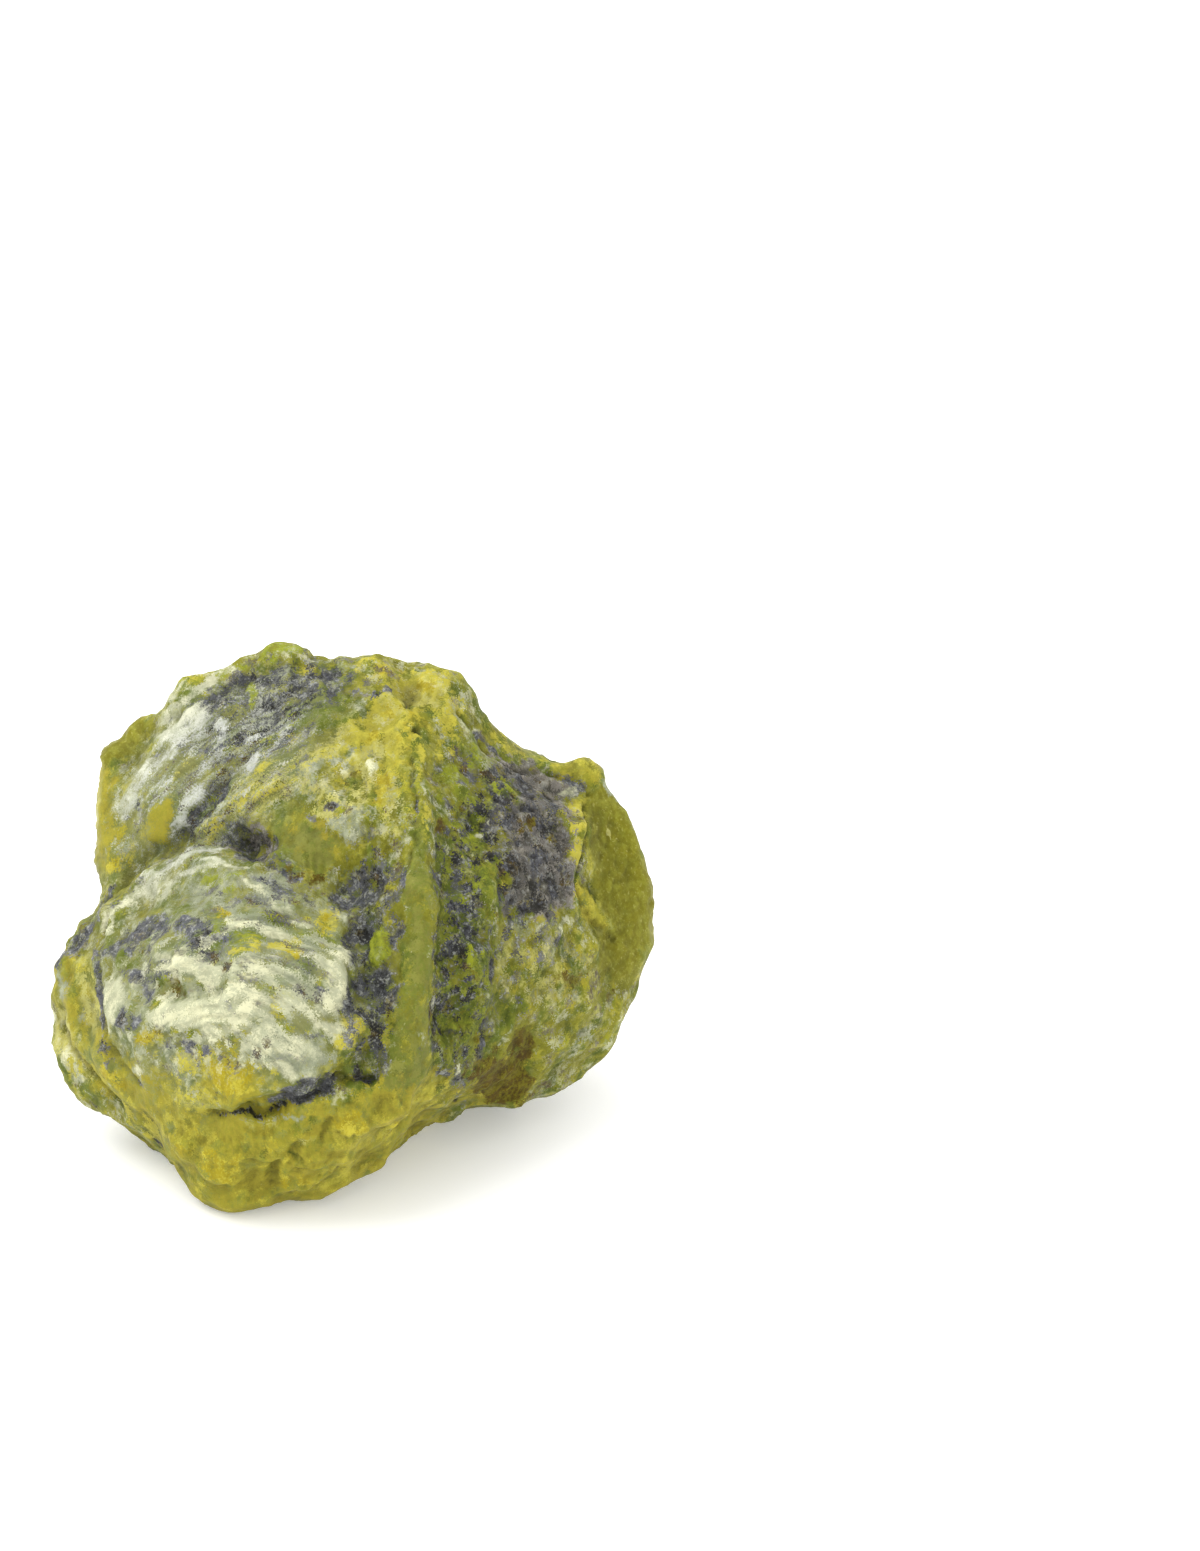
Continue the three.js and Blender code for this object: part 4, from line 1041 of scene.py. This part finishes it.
class StoneGraph(Graph):
    """The node tree of mottled serpentine: first its noises, fields and tones, then the layers of colour."""

    def __init__(self, material, colours):
        super().__init__(material)
        self.strands = self.fibres(across=0.7, length=2.6, detail=4, roughness=0.65, move=3)
        self.threads = self.fibres(across=0.3, length=3.2, detail=2, roughness=0.6, move=5)
        self.coarse = self.grain(across=0.9, detail=4, roughness=0.7, move=7)
        self.flecks = self.grain(across=0.3, detail=2, roughness=0.65, move=9)
        self.fine = self.grain(across=0.4, detail=2, roughness=0.7, move=11)
        self.flake = self.flakes(across=0.95, length=2.4, stray=0.45)
        self.noises = {
            "coarse": self.coarse,
            "drawn": swing(self.strands * 0.7 + self.threads * 0.3, 2) + 0.5,
            "speckled": self.coarse * 0.65 + self.flecks * 0.35,
        }
        self.dome = self.field("dome bundle")
        self.shoulder = self.field("shoulder bundle")
        self.streaked = self.dome + self.shoulder
        self.waxy = self.field("waxy")
        self.tones = {name: linear(getattr(colours, name)) for name in SerpentineColours.__annotations__}
        self.tones["plain"] = self.blend(self.streaked, self.tones["olive"], self.tones["sage"])
        self.tones["chalk"] = self.blend(self.shoulder, self.tones["chalk"], self.tones["frost"])
        self.masks = {}

    def ground(self):
        """Olive and green flakes with pale strands and bright grains. Waxy faces go over them, then sage
        between the fibres, then the milky stone under the talc."""
        tones, flake, streaked = self.tones, self.flake, self.streaked
        leafy = self.ramp(self.field("wide") + swing(flake[0], 0.5), -0.3, 0.5)
        colour = self.blend(leafy, tones["olive"], tones["green"])
        pale = self.ramp(self.strands + swing(flake[1], 0.3), 0.45, 0.72)
        pale = pale * (COVER["strands"] + streaked * COVER["more strands on fibres"])
        colour = self.blend(pale, colour, self.blend(streaked, tones["straw"], tones["milky"]))
        bright = self.ramp(self.coarse + swing(flake[2], 0.3), 0.5, 0.75) * COVER["bright grains"]
        colour = self.blend(bright, colour, tones["yellow"])
        faces = self.ramp(self.waxy + swing(self.coarse, 1), 0.3, 0.7) * COVER["waxy faces"]
        colour = self.blend(faces, colour, self.waxy_face())
        colour = self.blend(streaked * COVER["sage on fibres"], colour, tones["sage"])
        talc = COVER["milky under talc"] - self.shoulder * COVER["less on the shoulder"]
        return self.blend(self.ramp(self.field("chalk"), 0.05, 0.8) * talc, colour, tones["milky"])

    def waxy_face(self):
        """Waxy olive, clouded with plain olive and flecked with straw."""
        clouds = self.ramp(self.strands, 0.42, 0.62)
        flecked = self.ramp(self.threads * 0.5 + self.flecks * 0.5, 0.54, 0.68) * COVER["straw flecks"]
        smooth = self.blend(clouds, self.tones["waxy"], self.tones["olive"])
        return self.blend(flecked, smooth, self.tones["straw"])

    def lay_kinds(self, colour):
        """Lays each kind of stone over the last as ragged flakes, with its partner's tone threaded through
        them. Fine noise frays the flakes of the crumbly shoulder more."""
        for kind, (part, noise, partner, soft) in LAYING.items():
            frayed = self.noises[noise] + swing(self.fine, self.shoulder * CRUMBLY)
            self.masks[kind] = self.spots(self.field(kind), self.flake[part], frayed, soft)
            threaded = self.threads + swing(self.flake[part - 1], 0.4) + swing(self.flecks, 0.3)
            threaded = self.ramp(threaded, 0.42, 0.62) * COVER["threads"]
            mixed = self.blend(threaded, self.tones[kind], self.tones[partner])
            colour = self.blend(self.masks[kind] * COVER["kind"], colour, mixed)
            if kind == DARK_KINDS[-1]:
                colour = self.dark_specks(colour)
        return colour

    def dark_specks(self, colour):
        """Frosty specks and charcoal pits in the dark kinds, weaker in the violet film."""
        dark = self.ramp(sum(self.masks[kind] for kind in DARK_KINDS), 0.2, 1.0)
        violet, speckled = self.masks["violet"], self.noises["speckled"]
        specks = self.ramp(speckled, 0.5, 0.63) * (COVER["specks"] - violet * COVER["fewer on violet"])
        pits = self.ramp(speckled, 0.46, 0.39) * (COVER["pits"] - violet * COVER["shallower on violet"])
        colour = self.blend(dark * specks, colour, self.tones["frost"])
        return self.blend(dark * pits, colour, self.tones["charcoal"])

    def brightness(self):
        """Painted shade: lower in hollows, though less so between fibres, so that edges that stand out stay
        a little lighter. Varied by the noises, though less so on waxy faces and on the dome."""
        weaker = self.streaked * HOLLOWS_WEAKER["streaked"] + self.dome * HOLLOWS_WEAKER["dome"]
        hollow = self.ramp(self.field("hollow"), *HOLLOW_DEPTHS) * (1 - weaker)
        vary = swing(self.threads, VARY["threads"]) + swing(self.flecks, VARY["flecks"])
        vary = vary + swing(self.coarse, VARY["coarse"]) + swing(self.flake[1], VARY["flakes"])
        weaker = self.waxy * VARY_WEAKER["waxy"] + self.dome * VARY_WEAKER["dome"]
        return BRIGHTNESS + vary * (1 - weaker) - hollow * HOLLOW_SHADE

    def bump(self):
        """Fine threads and flecks that stand out, less so on waxy faces."""
        height = (self.threads * 0.5 + self.flecks * 0.5) * (1 - self.waxy * BUMP_LESS_ON_WAXY)
        values = {"Strength": BUMP_STRENGTH, "Distance": BUMP_HEIGHT * MM, "Height": height}
        return self.node("ShaderNodeBump", None, values)

    def roughness(self):
        """Powdery where the talc is, smoother on waxy faces, and flecked."""
        powdery = self.masks["chalk"] * CHALK_ROUGHNESS
        return ROUGHNESS + powdery + self.flecks * FLECK_ROUGHNESS - self.waxy * WAXY_GLOSS


def serpentine_material(colours):
    """Mottled serpentine, from chalky talc to dark magnetite. StoneGraph lays its colours."""
    material = bpy.data.materials.new("serpentine stone")
    g = StoneGraph(material, colours)
    values = {
        "Base Color": g.shade(g.lay_kinds(g.ground()), g.brightness()),
        "Roughness": g.roughness(),
        "Normal": g.bump(),
        "Specular IOR Level": SPECULAR,
    }
    shader = g.node("ShaderNodeBsdfPrincipled", None, values)
    g.node("ShaderNodeOutputMaterial", None, {"Surface": shader})
    return material


class SERPENTINE_OT_stage(bpy.types.Operator):
    """Sets the floor, the lights and the camera"""

    bl_idname = "serpentine.stage"
    bl_label = "Set the Stage"

    def execute(self, context):
        settings = context.scene.serpentine_stage
        half = settings.floor_size / 2
        corners = [(-half, -half, 0), (half, -half, 0), (half, half, 0), (-half, half, 0)]
        floor = new_object("floor", corners, [(0, 1, 2, 3)])
        floor.data.materials.append(floor_material())
        add_surround(context.scene, settings.sky_strength)
        add_key_light(context.scene, settings.key_strength, settings.key_spread)
        add_camera(context.scene)
        context.scene.view_settings.view_transform = "Standard"
        return {"FINISHED"}


def floor_material():
    """White paper with a faint glow, so that it stays white away from the lights."""
    material = bpy.data.materials.new("white paper")
    g = Graph(material)
    values = {"Base Color": PAPER_WHITE, "Roughness": PAPER_ROUGHNESS, "Emission Strength": PAPER_GLOW}
    shader = g.node("ShaderNodeBsdfPrincipled", None, values)
    g.node("ShaderNodeOutputMaterial", None, {"Surface": shader})
    return material


def add_surround(scene, strength):
    """Even white light from all round."""
    world = bpy.data.worlds.new("white surround")
    world.use_nodes = True
    background = world.node_tree.nodes["Background"]
    background.inputs["Color"].default_value = (1, 1, 1, 1)
    background.inputs["Strength"].default_value = strength
    scene.world = world


def add_key_light(scene, strength, spread):
    """Broad soft light from the upper left of the display view."""
    data = bpy.data.lights.new("key", "SUN")
    data.energy = strength
    data.angle = spread
    light = bpy.data.objects.new("key", data)
    light.rotation_euler = Vector(TOWARDS_KEY_LIGHT).to_track_quat("Z", "Y").to_euler()
    scene.collection.objects.link(light)


def add_camera(scene):
    """A long lens that looks down on the display side. It is aimed beside the stone, so that the heart falls
    on IMAGE_HEART."""
    width, height = IMAGE_SIZE
    focal = EYE_DISTANCE * PIXELS_PER_MM
    data = bpy.data.cameras.new("camera")
    data.lens = data.sensor_width * focal / height
    data.clip_start = 0.01
    camera = bpy.data.objects.new("camera", data)
    camera.location = (HEART + NEARER * EYE_DISTANCE) * MM
    to_heart = Vector((IMAGE_HEART[0] - width / 2, height / 2 - IMAGE_HEART[1], -focal))
    aim = to_heart.rotation_difference(Vector((0, 0, -1)))
    level = Euler((np.pi / 2 - LOOK_DOWN, 0, 0)).to_quaternion()
    camera.rotation_euler = (level @ aim).to_euler()
    scene.collection.objects.link(camera)
    scene.camera = camera


class SERPENTINE_PT_panel(bpy.types.Panel):
    """Lists the settings of the stone and its stage, with the operators that make them"""

    bl_label = "Serpentine Rock"
    bl_space_type = "VIEW_3D"
    bl_region_type = "UI"
    bl_category = "Serpentine"

    def draw(self, context):
        for (group_name, group), operator in zip(GROUPS.items(), OPERATORS):
            box = self.layout.box()
            for name in group.__annotations__:
                box.prop(getattr(context.scene, group_name), name)
            box.operator(operator.bl_idname)


# The settings by the names under which the scene keeps them, and the operators that use them, in order.
GROUPS = {
    "serpentine_skin": SerpentineSkin,
    "serpentine_colours": SerpentineColours,
    "serpentine_stage": SerpentineStage,
}
OPERATORS = (SERPENTINE_OT_skin, SERPENTINE_OT_stone, SERPENTINE_OT_stage)
CLASSES = (*GROUPS.values(), *OPERATORS, SERPENTINE_PT_panel)


def register():
    """Adds the classes to Blender, and the settings to its scenes."""
    for cls in CLASSES:
        bpy.utils.register_class(cls)
    for name, group in GROUPS.items():
        setattr(bpy.types.Scene, name, PointerProperty(type=group))


def unregister():
    """Takes the settings and the classes out again."""
    for name in GROUPS:
        delattr(bpy.types.Scene, name)
    for cls in reversed(CLASSES):
        bpy.utils.unregister_class(cls)


def main():
    """Makes the stone and its stage."""
    register()
    bpy.ops.serpentine.skin()
    bpy.ops.serpentine.stone()
    bpy.ops.serpentine.stage()


if __name__ == "__main__":
    main()
